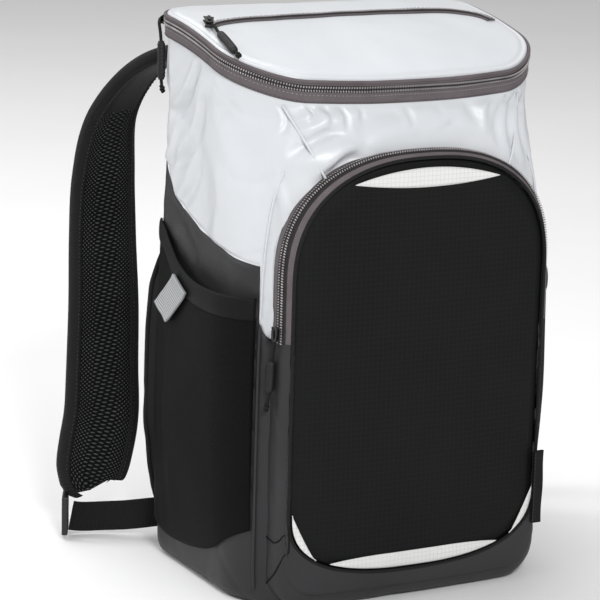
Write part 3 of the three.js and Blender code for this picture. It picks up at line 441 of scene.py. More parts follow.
ripstop = makeRipstop("blackRipstop", (0.0032, 0.0034, 0.0036), (0.0050, 0.0052, 0.0055),
                      (0.0068, 0.0071, 0.0074), 0.0042, 0.22, Specular_IOR_Level=0.15)
insetCloth = makeRipstop("whiteRipstop", (0.66, 0.66, 0.645), (0.74, 0.74, 0.725),
                         (0.60, 0.605, 0.61), 0.0036, 0.5)
# mesh colours: the lighter one is a painted highlight on the knots, the darker one painted shade in the holes
pocketMesh = makeMesh("blackPocketMesh", 0.0017, (0.0013, 0.0013, 0.0015), (0.0066, 0.0068, 0.0072), 0.0004)
airMesh = makeMesh("blackAirMesh", 0.0024, (0.0022, 0.0024, 0.0024), (0.078, 0.082, 0.080), 0.0012, 0.30)
padMesh = makeMesh("blackPadMesh", 0.0029, (0.0016, 0.0016, 0.0017), (0.011, 0.0113, 0.0116), 0.0010, 0.30)
zipTape = makeTape("zipTape", (0.112, 0.095, 0.102), (0.152, 0.132, 0.140), 0.0011)
darkTape = makeTape("darkTape", (0.022, 0.019, 0.021), (0.034, 0.030, 0.032), 0.0011)
# coil teeth coloured light grey: painted highlight on the dark coil, whose own colour is the dark zip bed
highlitZipTeeth = makePlain("highlitZipTeeth", (0.27, 0.25, 0.255), (0.42, 0.395, 0.40), 0.38, 90.0)
# ribbed materials (webbing, tab, binding, cord, label): the darker colour is painted shade in the rib grooves
webbing = makeRibbed("blackWebbing", (0.004, 0.004, 0.004), (0.012, 0.012, 0.013), 0.0016)
tabWebbing = makeRibbed("silverWebbing", (0.20, 0.21, 0.215), (0.60, 0.61, 0.62), 0.0026)
binding = makeRibbed("blackBinding", (0.005, 0.005, 0.005), (0.015, 0.015, 0.016), 0.0012)
plastic = makePlain("blackPlastic", (0.006, 0.006, 0.006), (0.009, 0.009, 0.009), 0.42, 60.0, 0.1)
rubber = makePlain("blackRubber", (0.005, 0.005, 0.005), (0.008, 0.008, 0.008), 0.55, 60.0, 0.3,
                   Specular_IOR_Level=0.35)
cordCloth = makeRibbed("blackCord", (0.004, 0.004, 0.004), (0.014, 0.014, 0.014), 0.0011)
darkThread = makePlain("darkThread", (0.030, 0.030, 0.032), (0.055, 0.055, 0.058), 0.6, 200.0)
greyThread = makePlain("greyThread", (0.26, 0.25, 0.25), (0.40, 0.39, 0.39), 0.6, 200.0)
whiteThread = makePlain("whiteThread", (0.70, 0.71, 0.73), (0.80, 0.81, 0.83), 0.6, 200.0)
labelCloth = makeRibbed("blackLabel", (0.006, 0.006, 0.006), (0.011, 0.011, 0.012), 0.0007)
print("materials made")


# The bag's main form: levels of the wall as shares of the sizes

bag = {"height": 0.445, "halfWidth": 0.137, "backReach": 0.097, "frontReach": 0.090,
       "frontBow": 0.017, "backCorner": 0.030, "frontCorner": 0.050, "wall": 0.007,
       "lidDrop": 0.038, "seam": 0.0003}

wallLevels = [  # height, half width, front, back, bow, corner
    (0.000, 0.950, 0.940, 0.970, 0.50, 0.96),
    (0.010, 0.995, 0.985, 0.995, 0.50, 0.99),
    (0.030, 1.015, 1.000, 1.000, 0.50, 1.00),
    (0.150, 1.022, 1.000, 1.000, 0.50, 1.00),
    (0.330, 1.022, 1.000, 1.000, 0.50, 1.00),
    (0.500, 1.015, 1.000, 1.000, 0.50, 1.00),
    (0.620, 1.005, 0.995, 1.000, 0.50, 1.02),
    (0.720, 0.998, 0.975, 1.000, 0.54, 1.12),
    (0.790, 0.990, 0.925, 1.000, 0.68, 1.24),
    (0.830, 0.986, 0.855, 1.000, 0.80, 1.24),
    (0.865, 0.990, 0.750, 1.000, 0.94, 1.14),
    (0.885, 1.000, 0.680, 1.000, 1.00, 1.00),
    (1.100, 1.000, 0.680, 1.000, 1.00, 1.00),
]
bagDepth = (bag["backReach"] + bag["frontReach"] + bag["frontBow"] * 0.5) * 0.98


def sectionAt(z):
    share = z / bag["height"]
    width, front, back, bow, corner = (readTable(wallLevels, share, k) for k in range(1, 6))
    return (z, bag["halfWidth"] * width, bag["frontReach"] * front, bag["backReach"] * back,
            bag["frontBow"] * bow, bag["frontCorner"] * corner)


def outlinePoint(section, turn, out=0.0):
    # turn: 0 middle of the back, over the right side to 5 at the middle of the front, left side to 10
    z, width, front, back, bow, corner = section
    left = turn > 5
    t = 10 - turn if left else turn
    width, back, front = width + out, back + out, front + out
    rBack, rFront = bag["backCorner"] + out, corner + out
    share = 0.0
    if t <= 1:
        x, y = (width - rBack) * t, back
    elif t <= 2:
        angle = (t - 1) * math.pi / 2
        x, y = width - rBack + rBack * math.sin(angle), back - rBack + rBack * math.cos(angle)
    elif t <= 3:
        x, y = width, mix(back - rBack, rFront - front, t - 2)
    elif t <= 4:
        angle = (t - 3) * math.pi / 2
        x, y = width - rFront + rFront * math.cos(angle), rFront - front - rFront * math.sin(angle)
        share = math.sin(angle) ** 2
    else:
        x, y, share = (width - rFront) * (5 - t), -front, 1.0
    y -= bow * (1 - (x / width) ** 2) * share
    return Vector((-x if left else x, y, z))


def sideTurn(y, section):  # turn on the right side for a place along the depth
    z, width, front, back, bow, corner = section
    backEdge, frontEdge = back - bag["backCorner"], corner - front
    if y > backEdge:
        return 2 - math.asin(min(1, (y - backEdge) / bag["backCorner"])) / (math.pi / 2)
    if y < frontEdge:
        return 3 + math.asin(min(1, (frontEdge - y) / corner)) / (math.pi / 2)
    return 2 + (backEdge - y) / (backEdge - frontEdge)


def sidePoint(y, z, out, side=-1):
    section = sectionAt(z)
    turn = sideTurn(y, section)
    return outlinePoint(section, 10 - turn if side < 0 else turn, out)


def frontTurn(across, section):  # turn on the right half of the front for a distance from the middle
    flat = section[1] - section[5]
    if across <= flat:
        return 5 - across / flat
    return 3 + math.acos(min(1, (across - flat) / section[5])) / (math.pi / 2)


def frontPoint(x, z, out):
    section = sectionAt(z)
    turn = frontTurn(abs(x), section)
    return outlinePoint(section, 10 - turn if x < 0 else turn, out)


lidFront = -(bag["frontReach"] * 0.68 + bag["frontBow"])
lidFlat = bag["backReach"] * 1.134


def lidHeight(y):
    s = clamp((y - lidFront) / (lidFlat - lidFront))
    return bag["height"] - bag["lidDrop"] + bag["lidDrop"] * (2 * s - s * s)


def depthAt(share):
    return bag["backReach"] - share * bagDepth


# Walls: a white upper part and a grey lower part that meet on a curved line

colourLine = [  # depth, height
    (-0.020, 0.792), (0.173, 0.706), (0.204, 0.686), (0.262, 0.673), (0.361, 0.657),
    (0.476, 0.640), (0.613, 0.628), (0.749, 0.617), (0.890, 0.608),
]
walls = {"tongueDepth": 0.890, "tongueEnd": 0.215, "zipDepth": 0.0140, "columns": 400,
         "upperRows": 96, "lowerRows": 90, "fold": 0.0010}

folds = [  # wall, place and height of both ends, width, depth; a negative depth stands out
    ("side", 0.012, 0.419, 0.064, 0.367, 0.0042, 0.0026),
    ("side", 0.004, 0.390, 0.062, 0.327, 0.0052, 0.0023),
    ("side", 0.014, 0.350, 0.046, 0.296, 0.0056, 0.0018),
    ("side", 0.054, 0.352, 0.078, 0.322, 0.0038, 0.0016),
    ("side", -0.010, 0.352, -0.018, 0.270, 0.0150, -0.0016),
    ("side", -0.040, 0.372, -0.050, 0.300, 0.0110, 0.0012),
    ("side", 0.080, 0.420, 0.090, 0.352, 0.0050, 0.0015),
    ("side", -0.0665, 0.350, -0.0770, 0.215, 0.0034, -0.0011),
    ("side", -0.0590, 0.389, -0.0650, 0.372, 0.0014, 0.0013),
    ("side", -0.0630, 0.391, -0.0672, 0.378, 0.0011, 0.0010),
    ("side", -0.030, 0.405, -0.022, 0.372, 0.0060, 0.0010),
    ("front", 0.100, 0.358, 0.068, 0.374, 0.0046, 0.0024),
    ("front", 0.094, 0.371, 0.066, 0.384, 0.0060, -0.0020),
    ("front", 0.086, 0.336, 0.054, 0.355, 0.0046, 0.0024),
    ("front", 0.084, 0.347, 0.052, 0.365, 0.0062, -0.0020),
    ("front", 0.088, 0.393, 0.086, 0.380, 0.0020, 0.0011),
    ("front", 0.076, 0.395, 0.073, 0.379, 0.0022, 0.0012),
    ("front", 0.063, 0.396, 0.060, 0.376, 0.0024, 0.0011),
    ("front", 0.047, 0.396, 0.046, 0.380, 0.0022, 0.0009),
    ("front", 0.052, 0.372, -0.006, 0.386, 0.0070, 0.0015),
    ("front", 0.030, 0.368, -0.030, 0.371, 0.0060, 0.0012),
    ("front", 0.010, 0.394, 0.004, 0.376, 0.0030, 0.0009),
    ("front", -0.018, 0.395, -0.024, 0.378, 0.0030, 0.0009),
    ("front", -0.048, 0.392, -0.058, 0.370, 0.0040, 0.0012),
    ("front", -0.101, 0.389, -0.096, 0.338, 0.0036, 0.0023),
    ("front", -0.088, 0.386, -0.078, 0.348, 0.0050, 0.0018),
    ("front", -0.110, 0.384, -0.108, 0.340, 0.0030, 0.0017),
    ("front", -0.068, 0.388, -0.062, 0.362, 0.0050, -0.0014),
    ("side", 0.070, 0.300, 0.030, 0.270, 0.0060, 0.0016),
    ("side", 0.060, 0.284, 0.010, 0.262, 0.0050, 0.0013),
]


def boundaryHeight(y):
    share = (bag["backReach"] - y) / bagDepth
    if share > walls["tongueDepth"]:
        bend = 1 - clamp((share - walls["tongueDepth"]) / 0.050)
        return walls["tongueEnd"] + 0.016 * (1 - math.sqrt(1 - bend * bend))
    return bag["height"] * readTable(colourLine, share, 1)


def wallPlace(turn, z):  # distance along the wall from the middle of the back, and height
    t = 10 - turn if turn > 5 else turn
    section = sectionAt(0.25)
    corner = section[5] * math.pi / 2
    marks = [0.0, section[1] - 0.030, 0.030 * math.pi / 2, section[2] + section[3] - 0.030 - section[5],
             corner, section[1] - section[5]]
    k = min(4, int(t))
    return sum(marks[:k + 1]) + marks[k + 1] * (t - k), z


def foldEnd(wall, place, z):
    section = sectionAt(z)
    turn = sideTurn(place, section) if wall == "side" else frontTurn(abs(place), section)
    return wallPlace(turn, z)


foldLines = []
for wall, place1, z1, place2, z2, width, depth in folds:
    (a1, h1), (a2, h2) = foldEnd(wall, place1, z1), foldEnd(wall, place2, z2)
    length = math.hypot(a2 - a1, h2 - h1)
    left = place1 + place2 > 0 if wall == "front" else True
    foldLines.append((left, wall, a1, h1, (a2 - a1) / length, (h2 - h1) / length, length, width, depth))


def crumple(turn, z, amount):
    point = outlinePoint(sectionAt(z), turn)
    out = walls["fold"] * (cloudy(point, 11, 3.1) + 0.40 * cloudy(point, 30, 7.7)) * amount
    creased = abs(cloudy((point.x * 0.8 + point.z, point.y, point.z * 0.7), 21, 15.0))
    out -= walls["fold"] * 0.7 * max(0.0, 0.16 - creased) / 0.16 * amount  # sharp little creases
    leftSide = turn > 5
    if not leftSide:
        z = z - 0.006
    where, height = wallPlace(turn, z)
    for left, wall, a1, h1, da, dh, length, width, depth in foldLines:
        if wall == "front" and left != leftSide:
            continue
        du, dz = where - a1, height - h1
        along = du * da + dz * dh
        if -0.3 * length < along < 1.3 * length:
            across = du * dh - dz * da + 0.10 * length * math.sin(math.pi * clamp(along / length))
            if abs(across) < width * 5:
                fade = smoothStep(-0.25 * length, 0.3 * length, along)
                fade *= smoothStep(-0.25 * length, 0.3 * length, length - along)
                shape = hill(across, 0, width) - 0.45 * hill(across, 2.0 * width, 1.3 * width)
                out -= 1.7 * depth * amount * fade * shape
    return out


def wallTurns(break1):
    turns = [10 - 10 * i / walls["columns"] for i in range(walls["columns"] + 1)]
    for edge in (break1, 10 - break1):  # two columns stand at the tongue's upright edge
        near = min(range(len(turns)), key=lambda i: abs(turns[i] - edge))
        turns[near] = edge + 0.004
        turns[near + 1] = edge - 0.004
    return turns


tongueTurn = sideTurn(depthAt(walls["tongueDepth"]), sectionAt(0.25))
turns = wallTurns(tongueTurn)


def topEdge(turn):
    y = outlinePoint(sectionAt(bag["height"]), turn)[1]
    drop = walls["zipDepth"] * (1 - smoothStep(0.0945, 0.0968, y)) + bag["seam"]
    return lidHeight(y) - drop


def seamEdge(turn):
    z = 0.27
    for _ in range(3):
        z = boundaryHeight(outlinePoint(sectionAt(z), turn)[1])
    return z


seamHeights = [seamEdge(t) for t in turns]
topHeights = [topEdge(t) for t in turns]


def colourHeight(turn):  # the meeting line without the tongue's drop
    y = outlinePoint(sectionAt(0.27), turn)[1]
    share = min((bag["backReach"] - y) / bagDepth, walls["tongueDepth"])
    return bag["height"] * readTable(colourLine, share, 1)


lineHeights = [colourHeight(t) for t in turns]


def upperPlace(u, v):
    i = round(u * walls["columns"])
    low, line = seamHeights[i] + bag["seam"] * 0.5, lineHeights[i] + 0.004
    z = mix(low, line, v / 0.32) if v < 0.32 else mix(line, topHeights[i], (v - 0.32) / 0.68)
    edge = smoothStep(0, 0.05, v) * smoothStep(0, 0.05, 1 - v)
    tuck = 0.0012 * (1 - smoothStep(0, 0.004, z - low))
    return outlinePoint(sectionAt(z), turns[i], crumple(turns[i], z, 1) * edge - tuck)


def lowerPlace(u, v):
    i = round(u * walls["columns"])
    floorRows = 0.10
    if v < floorRows:
        rim = outlinePoint(sectionAt(0.0), turns[i], -0.003)
        scale = v / floorRows
        return Vector((rim.x * scale, rim.y * scale, 0.0))
    w = (v - floorRows) / (1 - floorRows)
    z = mix(0.0, seamHeights[i] - bag["seam"] * 0.5, w ** 1.25)
    tuck = 0.0010 * (1 - smoothStep(0, 0.03, 1 - w))
    return outlinePoint(sectionAt(z), turns[i], crumple(turns[i], z, 0.9) * smoothStep(0.01, 0.06, w) - tuck)


arcLength = reachAlong([outlinePoint(sectionAt(0.25), t) for t in turns])


def wallUv(low, high):
    def uvOf(u, v):
        i = round(u * walls["columns"])
        return (arcLength[i], mix(low[i], high[i], v))
    return uvOf


upperMesh = gridMesh(walls["columns"], walls["upperRows"], upperPlace, uvOf=wallUv(seamHeights, topHeights))
closePiece(upperMesh, "whiteWalls", whiteCloth, "white_fabric", ["body_upper"], wall=0.004, weld=2e-5)
lowerMesh = gridMesh(walls["columns"], walls["lowerRows"], lowerPlace,
                     uvOf=wallUv([0.0] * len(turns), seamHeights))
closePiece(lowerMesh, "greyWalls", greyCloth, "grey_fabric", ["body_lower"], wall=0.004, weld=2e-5)
print("walls made")


# Lid: a soft padded top that slopes down to the front

lid = {"columns": 250, "rows": 40}
lidRows = [  # share from the edge to the middle, how far in, rise
    (0.00, 1.000, 0.0003), (0.05, 1.000, 0.0028), (0.12, 0.985, 0.0046), (0.30, 0.900, 0.0059),
    (0.60, 0.600, 0.0079), (1.00, 0.000, 0.0090),
]
lidCentreY = (bag["backReach"] + lidFront) / 2


def lidSurface(turn, scale, rise):
    edge = outlinePoint(sectionAt(bag["height"]), turn)
    x, y = edge.x * scale, mix(lidCentreY, edge.y, scale)
    return Vector((x, y, lidHeight(y) + rise))


def lidPlace(u, v):
    turn = 10 - 10 * u
    point = lidSurface(turn, readTable(lidRows, v, 1), readTable(lidRows, v, 2))
    point.z += 0.0012 * (cloudy(point, 15, 5.0) + 0.4 * cloudy(point, 38, 2.0)) * smoothStep(0.05, 0.2, v)
    point.z -= 0.0012 * hill(v, 0.16, 0.03)  # pressed line where the edge is sewn
    return point


def lidTop(x, y):  # height of the lid's upper surface
    edge = bag["backReach"] if y > lidCentreY else lidFront
    depth = (y - lidCentreY) / (edge - lidCentreY)
    across = abs(x) / bag["halfWidth"]
    far = clamp(max(depth, across, math.hypot(depth, across) * 0.93))
    return lidHeight(y) + readTable([(0, 0.0090), (0.6, 0.0079), (0.9, 0.0059), (1, 0.0046)], far, 1)


def lidUv(u, v):
    return tuple(lidSurface(10 - 10 * u, readTable(lidRows, v, 1), 0).xy)


lidMesh = gridMesh(lid["columns"], lid["rows"], lidPlace, uvOf=lidUv)
lidTree = BVHTree.FromBMesh(lidMesh)
closePiece(lidMesh, "lidTop", whiteCloth, "white_fabric", ["lid"], wall=0.003, weld=2e-5)


# Main zip: piped edge, upper tape, two rows of teeth and lower tape

mainZip = {"turnStart": 8.86, "pitch": 0.0022}
lidOutline = sectionAt(bag["height"])


def zipPoint(turn, drop, out):
    p = outlinePoint(lidOutline, turn, out)
    return Vector((p.x, p.y, lidHeight(p.y) - drop))


def zipTurn(u):
    return mix(mainZip["turnStart"], 10 - mainZip["turnStart"], u)


zipLength = smoothPath([zipPoint(zipTurn(k / 90), 0, 0) for k in range(91)], 200)[1]


def bandPiece(name, rows, material, slotName, nodes, thickness=0.0008, columns=300):
    # rows: share across, drop below the lid, rise off the wall
    def place(u, v):
        return zipPoint(zipTurn(u), readTable(rows, v, 1), readTable(rows, v, 2))
    mesh = gridMesh(columns, 10, place, size=(zipLength, rows[-1][1] - rows[0][1]))
    return closePiece(mesh, name, material, slotName, nodes, wall=thickness)


bandPiece("mainZipUpperTape", [(0, 0.0012, 0.0013), (0.5, 0.0002, 0.0019), (1, -0.0008, 0.0016)],
          zipTape, "zip_tape", ["lid_zip_tape_upper"])
bandPiece("mainZipLowerTape",
          [(0, 0.0152, 0.0004), (0.08, 0.0147, 0.0013), (0.5, 0.0105, 0.0016), (1, 0.0060, 0.0013)],
          zipTape, "zip_tape", ["lid_zip_tape_lower"])
pipingPath, _ = smoothPath([zipPoint(10 * k / 120, -0.0019, 0.0015) for k in range(120)], 300, True)
tubePiece("lidPiping", pipingPath, 0.0014, zipTape, "zip_tape", ["lid_piping"], 10, True)


def zipLine(drop, out):
    return lambda t, rise: zipPoint(zipTurn(t), drop, out + rise)


bandPiece("mainZipBed", [(0, 0.0068, 0.0012), (0.5, 0.0035, 0.0016), (1, 0.0004, 0.0012)],
          darkTape, "zip_coil", [])
laidPieces("mainZipTeeth", laidFrames(zipLine(0.0034, 0.0020), mainZip["pitch"]),
           [(-0.0015, 0.25), (0.0015, -0.25)], highlitZipTeeth, "zip_coil", ["lid_zip_coil"],
           (0.0013, 0.0022, 0.0016))
stitches("lowerTapeStitches", zipLine(0.0082, 0.0018), greyThread, "zip_tape")
stitches("lowerTapeHemStitches", zipLine(0.0134, 0.0017), darkThread, "zip_tape")
print("lid and main zip made")


# Front pocket: an arched wall, its zip, the black panel and its white insets

pocket = {"halfWidth": 0.117, "top": 0.357, "bottom": 0.003, "reach": 0.104, "bow": 0.005,
          "zipEnd": 0.215, "piping": 0.0014}
pocketLevels = [(0.500, 1.000, 1.000, 0.000), (0.885, 1.000, 1.000, 0.000),
                (0.942, 0.983, 0.996, 0.012), (0.975, 0.957, 0.990, 0.030)]


def cornerShare(angle, steepness):
    return (abs(math.cos(angle)) ** (2 / steepness), abs(math.sin(angle)) ** (2 / steepness))


def archPoint(t, half, top, bottom, out=0.0):
    # t: 0 middle of the bottom, up the right side to 0.5 at the top, left side to 1
    height = pocket["top"] - pocket["bottom"]
    topDrop, bottomRise = height * 0.265, height * 0.150
    left = t > 0.5
    s = (1 - t if left else t) * 2
    h = half + out
    if s < 0.36:
        c, w = cornerShare(s / 0.36 * math.pi / 2, 2.6)
        x, z = h * w, bottom - out + (bottomRise + out) * (1 - c)
    elif s < 0.58:
        x, z = h, mix(bottom + bottomRise, top - topDrop, (s - 0.36) / 0.22)
    else:
        c, w = cornerShare((s - 0.58) / 0.42 * math.pi / 2, 2.4)
        x, z = h * c, top - topDrop + (topDrop + out) * w
    return Vector((-x if left else x, 0, z))


def evenArch():  # places on the arch with equal steps along it
    fine = [archPoint(k / 4000, pocket["halfWidth"], pocket["top"], pocket["bottom"]) for k in range(4001)]
    reach = reachAlong(fine)
    even, k = [], 0
    for i in range(1001):
        want = reach[-1] * i / 1000
        while k < 3999 and reach[k + 1] < want:
            k += 1
        even.append((k + clamp((want - reach[k]) / max(1e-9, reach[k + 1] - reach[k]))) / 4000)
    return even, reach[-1]


evenTurns, archLength = evenArch()


def evenTurn(s):
    place = clamp(s) * 1000
    k = min(999, int(place))
    return mix(evenTurns[k], evenTurns[k + 1], place - k)


def bowAt(x, y):
    share = clamp((-y - pocket["reach"] * 0.6) / (pocket["reach"] * 0.25))
    across = min(1, abs(x) / pocket["halfWidth"])
    return pocket["bow"] * (1 - across * across) * share


def pocketPoint(s, reachShare, out=0.0):
    half = pocket["halfWidth"] * readTable(pocketLevels, reachShare, 1)
    top = pocket["top"] * readTable(pocketLevels, reachShare, 2)
    lift = pocket["top"] * readTable(pocketLevels, reachShare, 3)
    p = archPoint(evenTurn(s), half, top, pocket["bottom"] + lift, out)
    y = -pocket["reach"] * reachShare
    return Vector((p.x, y - bowAt(p.x, y), p.z))


def zipEndShare():  # where the arch reaches the ends of its zip, on the right side
    s = 0.25
    while pocketPoint(s, 0.9).z < pocket["zipEnd"]:
        s += 0.001
    return s


zipShare = zipEndShare()


def bendShare():  # where the arch leaves its rounded foot
    s = 0.0
    while evenTurn(s) * 2 < 0.36:
        s += 0.0005
    return s


footShare = bendShare()
foot = {"round": 0.026, "rowsTo": 0.70, "reach": (0.62, 0.984)}


def wallOutline(s, reachShare, out=0.0):  # the pocket's wall: arched above, nearly square at the foot
    left = s > 0.5
    g = (1 - s if left else s) / footShare
    p = pocketPoint(s, reachShare, out)
    if g >= 1:
        return p
    half = pocket["halfWidth"] * readTable(pocketLevels, reachShare, 1) + out
    low = pocket["bottom"] + pocket["top"] * readTable(pocketLevels, reachShare, 3) - out
    high = pocketPoint(footShare, reachShare, out).z
    bend = foot["round"]
    run = half - bend + bend * math.pi / 2 + high - low - bend
    d = g * run
    if d < half - bend:
        x, z = d, low
    elif d < half - bend + bend * math.pi / 2:
        angle = (d - half + bend) / bend
        x, z = half - bend + bend * math.sin(angle), low + bend * (1 - math.cos(angle))
    else:
        x, z = half, low + bend + d - (half - bend + bend * math.pi / 2)
    y = -pocket["reach"] * reachShare
    return Vector((-x if left else x, y - bowAt(x, y), z))


panelHalf = pocket["halfWidth"] * 0.945
panelTopZ = pocket["top"] * 0.987
panelBottomZ = pocket["bottom"] + pocket["top"] * 0.067


def panelY(x):
    across = min(1, abs(x) / pocket["halfWidth"])
    return -pocket["reach"] - pocket["bow"] * (1 - across * across)


def gussetPlace(u, v, proud=0.0):
    underZip = smoothStep(pocket["zipEnd"] - 0.020, pocket["zipEnd"], wallOutline(u, 0.9).z)
    ringX, ringY = math.cos(math.tau * u), math.sin(math.tau * u)
    soft = 0.0007 * cloudy((ringX * 3, ringY * 3, v * 3), 1.3, 4.0)
    soft += 0.0005 * cloudy((ringX * 8, ringY * 8, v * 4), 1.3, 9.0)
    soft = soft * (1 - underZip) - 0.0005 * underZip
    if v <= foot["rowsTo"]:
        reach = mix(*foot["reach"], v / foot["rowsTo"])
        return wallOutline(u, reach, -0.0002 + soft * smoothStep(0, 0.1, v) + proud)
    w = (v - foot["rowsTo"]) / (1 - foot["rowsTo"])
    outer = wallOutline(u, foot["reach"][1], -0.0002 + soft)
    inner = archPoint(evenTurn(u), panelHalf, panelTopZ, panelBottomZ, 0.0012)
    innerY = panelY(inner.x) + 0.0014
    p = outer.lerp(Vector((inner.x, innerY, inner.z)), w)
    p.y = mix(outer.y, innerY, smoothStep(0, 0.45, w)) + soft * 0.6 - proud
    return p


gussetMesh = gridMesh(360, 60, gussetPlace, size=(archLength, 0.05))
for face in gussetMesh.faces:
    middle = face.calc_center_median()
    if middle.z > pocket["zipEnd"] and middle.y > -pocket["reach"] * 0.80:
        face.material_index = 1  # the white wall runs up to the zip
closePiece(gussetMesh, "pocketWall", greyCloth, "grey_fabric", ["pocket_gusset"], wall=0.0018, weld=2e-5,
           flip=True).data.materials.append(whiteCloth)


def shareAt(z, left):  # the place on the foot or side of the arch at a height
    s = 0.04
    while wallOutline(s, 0.9).z < z:
        s += 0.0005
    return 1 - s if left else s


# thin black tubes along the mitre seams of the pocket's foot: painted shade line of the raised grey seams
for side, word in ((-1, "left"), (1, "right")):
    left = side < 0
    for k, (fromZ, toZ, toV) in enumerate(((0.050, 0.062, 0.08), (0.050, 0.0125, 0.10))):
        s1, s2 = shareAt(fromZ, left), shareAt(toZ, left)
        mitre = [gussetPlace(mix(s1, s2, t / 24), mix(0.97, toV, t / 24), 0.0020) for t in range(25)]
        mitrePath, _ = smoothPath(mitre, 60)
        tubePiece(word + "FootSeamShadeLine" + str(k + 1), mitrePath, 0.0007, blackCloth, "grey_fabric", (), 8)


def archBand(name, low, high, rises, material, slotName, nodes, columns=260, thickness=0.0007):
    # rises: share across the band, rise off the pocket wall
    def place(u, v):
        s = mix(zipShare, 1 - zipShare, u)
        return pocketPoint(s, mix(low, high, v), readTable(rises, v, 1))
    mesh = gridMesh(columns, 8, place, size=(archLength * (1 - 2 * zipShare), (high - low) * pocket["reach"]))
    return closePiece(mesh, name, material, slotName, nodes, wall=thickness, flip=True)


archBand("pocketOuterTape", 0.790, 0.858, [(0, 0.0006), (0.9, 0.0012), (1, 0.0010)], zipTape, "zip_tape",
         ["pocket_tape_outer"])
archBand("pocketZipBed", 0.852, 0.954, [(0, 0.0010), (0.5, 0.0016), (1, 0.0010)], darkTape, "zip_coil", [])
archBand("pocketInnerTape", 0.950, 0.984, [(0, 0.0012), (0.5, 0.0017), (1, 0.0010)], zipTape, "zip_tape",
         ["pocket_tape_inner"])


def archLine(reachShare, out):
    return lambda t, rise: pocketPoint(mix(zipShare, 1 - zipShare, t), reachShare, out + rise)


laidPieces("pocketZipTeeth", laidFrames(archLine(0.903, 0.0021), 0.0021), [(-0.0024, 0.25), (0.0024, -0.25)],
           highlitZipTeeth, "zip_coil", ["pocket_coil"], (0.0013, 0.0030, 0.0018))
stitches("outerTapeStitches", archLine(0.812, 0.0012), darkThread, "zip_tape")


def panelPlace(u, v):
    edge = archPoint(evenTurn(u), panelHalf, panelTopZ, panelBottomZ)
    centre = Vector((0, 0, mix(panelBottomZ, panelTopZ, 0.5)))
    p = centre.lerp(edge, v)
    roll = 0.0022 * smoothStep(0.90, 1.0, v) ** 2
    soft = 0.0007 * cloudy((p.x, 0, p.z), 16, 9.0) + 0.0004 * cloudy((p.x, 0, p.z), 45, 1.0)
    return Vector((p.x, panelY(p.x) + roll + soft * smoothStep(0, 0.2, 1 - v), p.z))


def panelUv(u, v):
    p = panelPlace(u, v)
    return (p.x, p.z)


panelMesh = gridMesh(220, 60, panelPlace, uvOf=panelUv)
bmesh.ops.remove_doubles(panelMesh, verts=panelMesh.verts, dist=2e-5)
closePiece(panelMesh, "pocketPanel", ripstop, "black_ripstop", ["pocket_panel"], wall=0.0015, flip=True)

panelLine = []
for k in range(160):
    p = archPoint(evenTurn(k / 160), panelHalf, panelTopZ, panelBottomZ, pocket["piping"] + 0.0003)
    panelLine.append(Vector((p.x, panelY(p.x) + pocket["piping"] * 0.2, p.z)))
panelPath, _ = smoothPath(panelLine, 320, True)
tubePiece("panelPiping", panelPath, pocket["piping"], binding, "black_ripstop", ["panel_piping"], 10, True)
print("front pocket made")


# White insets on the panel

def insetPiece(name, low, high, nodes, columns=60, rows=8, span=(-1.0, 1.0), half=0.0):
    # low and high give a height for each place across
    def place(u, v):
        s = mix(span[0], span[1], u)
        x = s * half
        z = mix(low(s), high(s), v)
        puff = 0.0010 * math.sin(math.pi * v) ** 0.5 * (1 - abs(s)) ** 0.2 if 0 < v < 1 else 0
        return Vector((x, panelY(x) - 0.0006 - puff - 0.0003 * cloudy((x, 0, z), 60, 2.0), z))
    mesh = gridMesh(columns, rows, place, uvOf=lambda u, v: (place(u, v).x, place(u, v).z))
    return closePiece(mesh, name, insetCloth, "inset_fabric", nodes, wall=0.0006, weld=1e-5)


def lensEdge(edge, tip, power):
    return lambda s: pocket["top"] * mix(tip, edge, 1 - abs(s) ** power)


insetPiece("topInset", lensEdge(0.928, 0.942, 2), lensEdge(0.971, 0.942, 2), ["inset_top"],
           half=pocket["halfWidth"] * 0.56)
lowInset = {"half": pocket["halfWidth"] * 0.66, "top": pocket["top"] * 0.113}


def panelLow(s):
    share = abs(s) * lowInset["half"] / panelHalf
    rise = (pocket["top"] - pocket["bottom"]) * 0.150
    return panelBottomZ + rise * (1 - (1 - share ** 2.6) ** (1 / 2.6)) + 0.0012


insetPiece("bottomInset", panelLow, lambda s: mix(panelLow(1.0), lowInset["top"], 1 - abs(s) ** 4),
           ["inset_bottom"], half=lowInset["half"])


def panelEdge(z):
    best = 0.0
    for k in range(200):
        p, q = (archPoint(k / 400 + d, panelHalf, panelTopZ, panelBottomZ) for d in (0, 0.0025))
        if p.z <= z <= q.z:
            best = mix(p.x, q.x, (z - p.z) / max(1e-9, q.z - p.z))
    return best


def cornerPiece(name, side, nodes):
    low, high = panelBottomZ + pocket["top"] * 0.042, panelBottomZ + pocket["top"] * 0.150
    edges = [(mix(low, high, k / 24), panelEdge(mix(low, high, k / 24)) - 0.001) for k in range(25)]
    first, last = edges[0][1], edges[-1][1]

    def place(u, v):
        z = mix(low, high, u)
        edge = readTable(edges, z, 1)
        chord = min(edge - 0.0003, mix(first, last, u ** 0.85))
        x = mix(chord, edge, v) * side
        return Vector((x, panelY(x) - 0.0008 - 0.0006 * math.sin(math.pi * v), z))
    mesh = gridMesh(24, 6, place, uvOf=lambda u, v: (place(u, v).x, place(u, v).z))
    return closePiece(mesh, name, insetCloth, "inset_fabric", nodes, wall=0.0006, flip=side > 0)


cornerPiece("leftInset", -1, ["inset_left"])
cornerPiece("rightInset", 1, ["inset_right"])


# Side pockets: loose mesh with a bound rim, a ribbed tab and a piped front seam

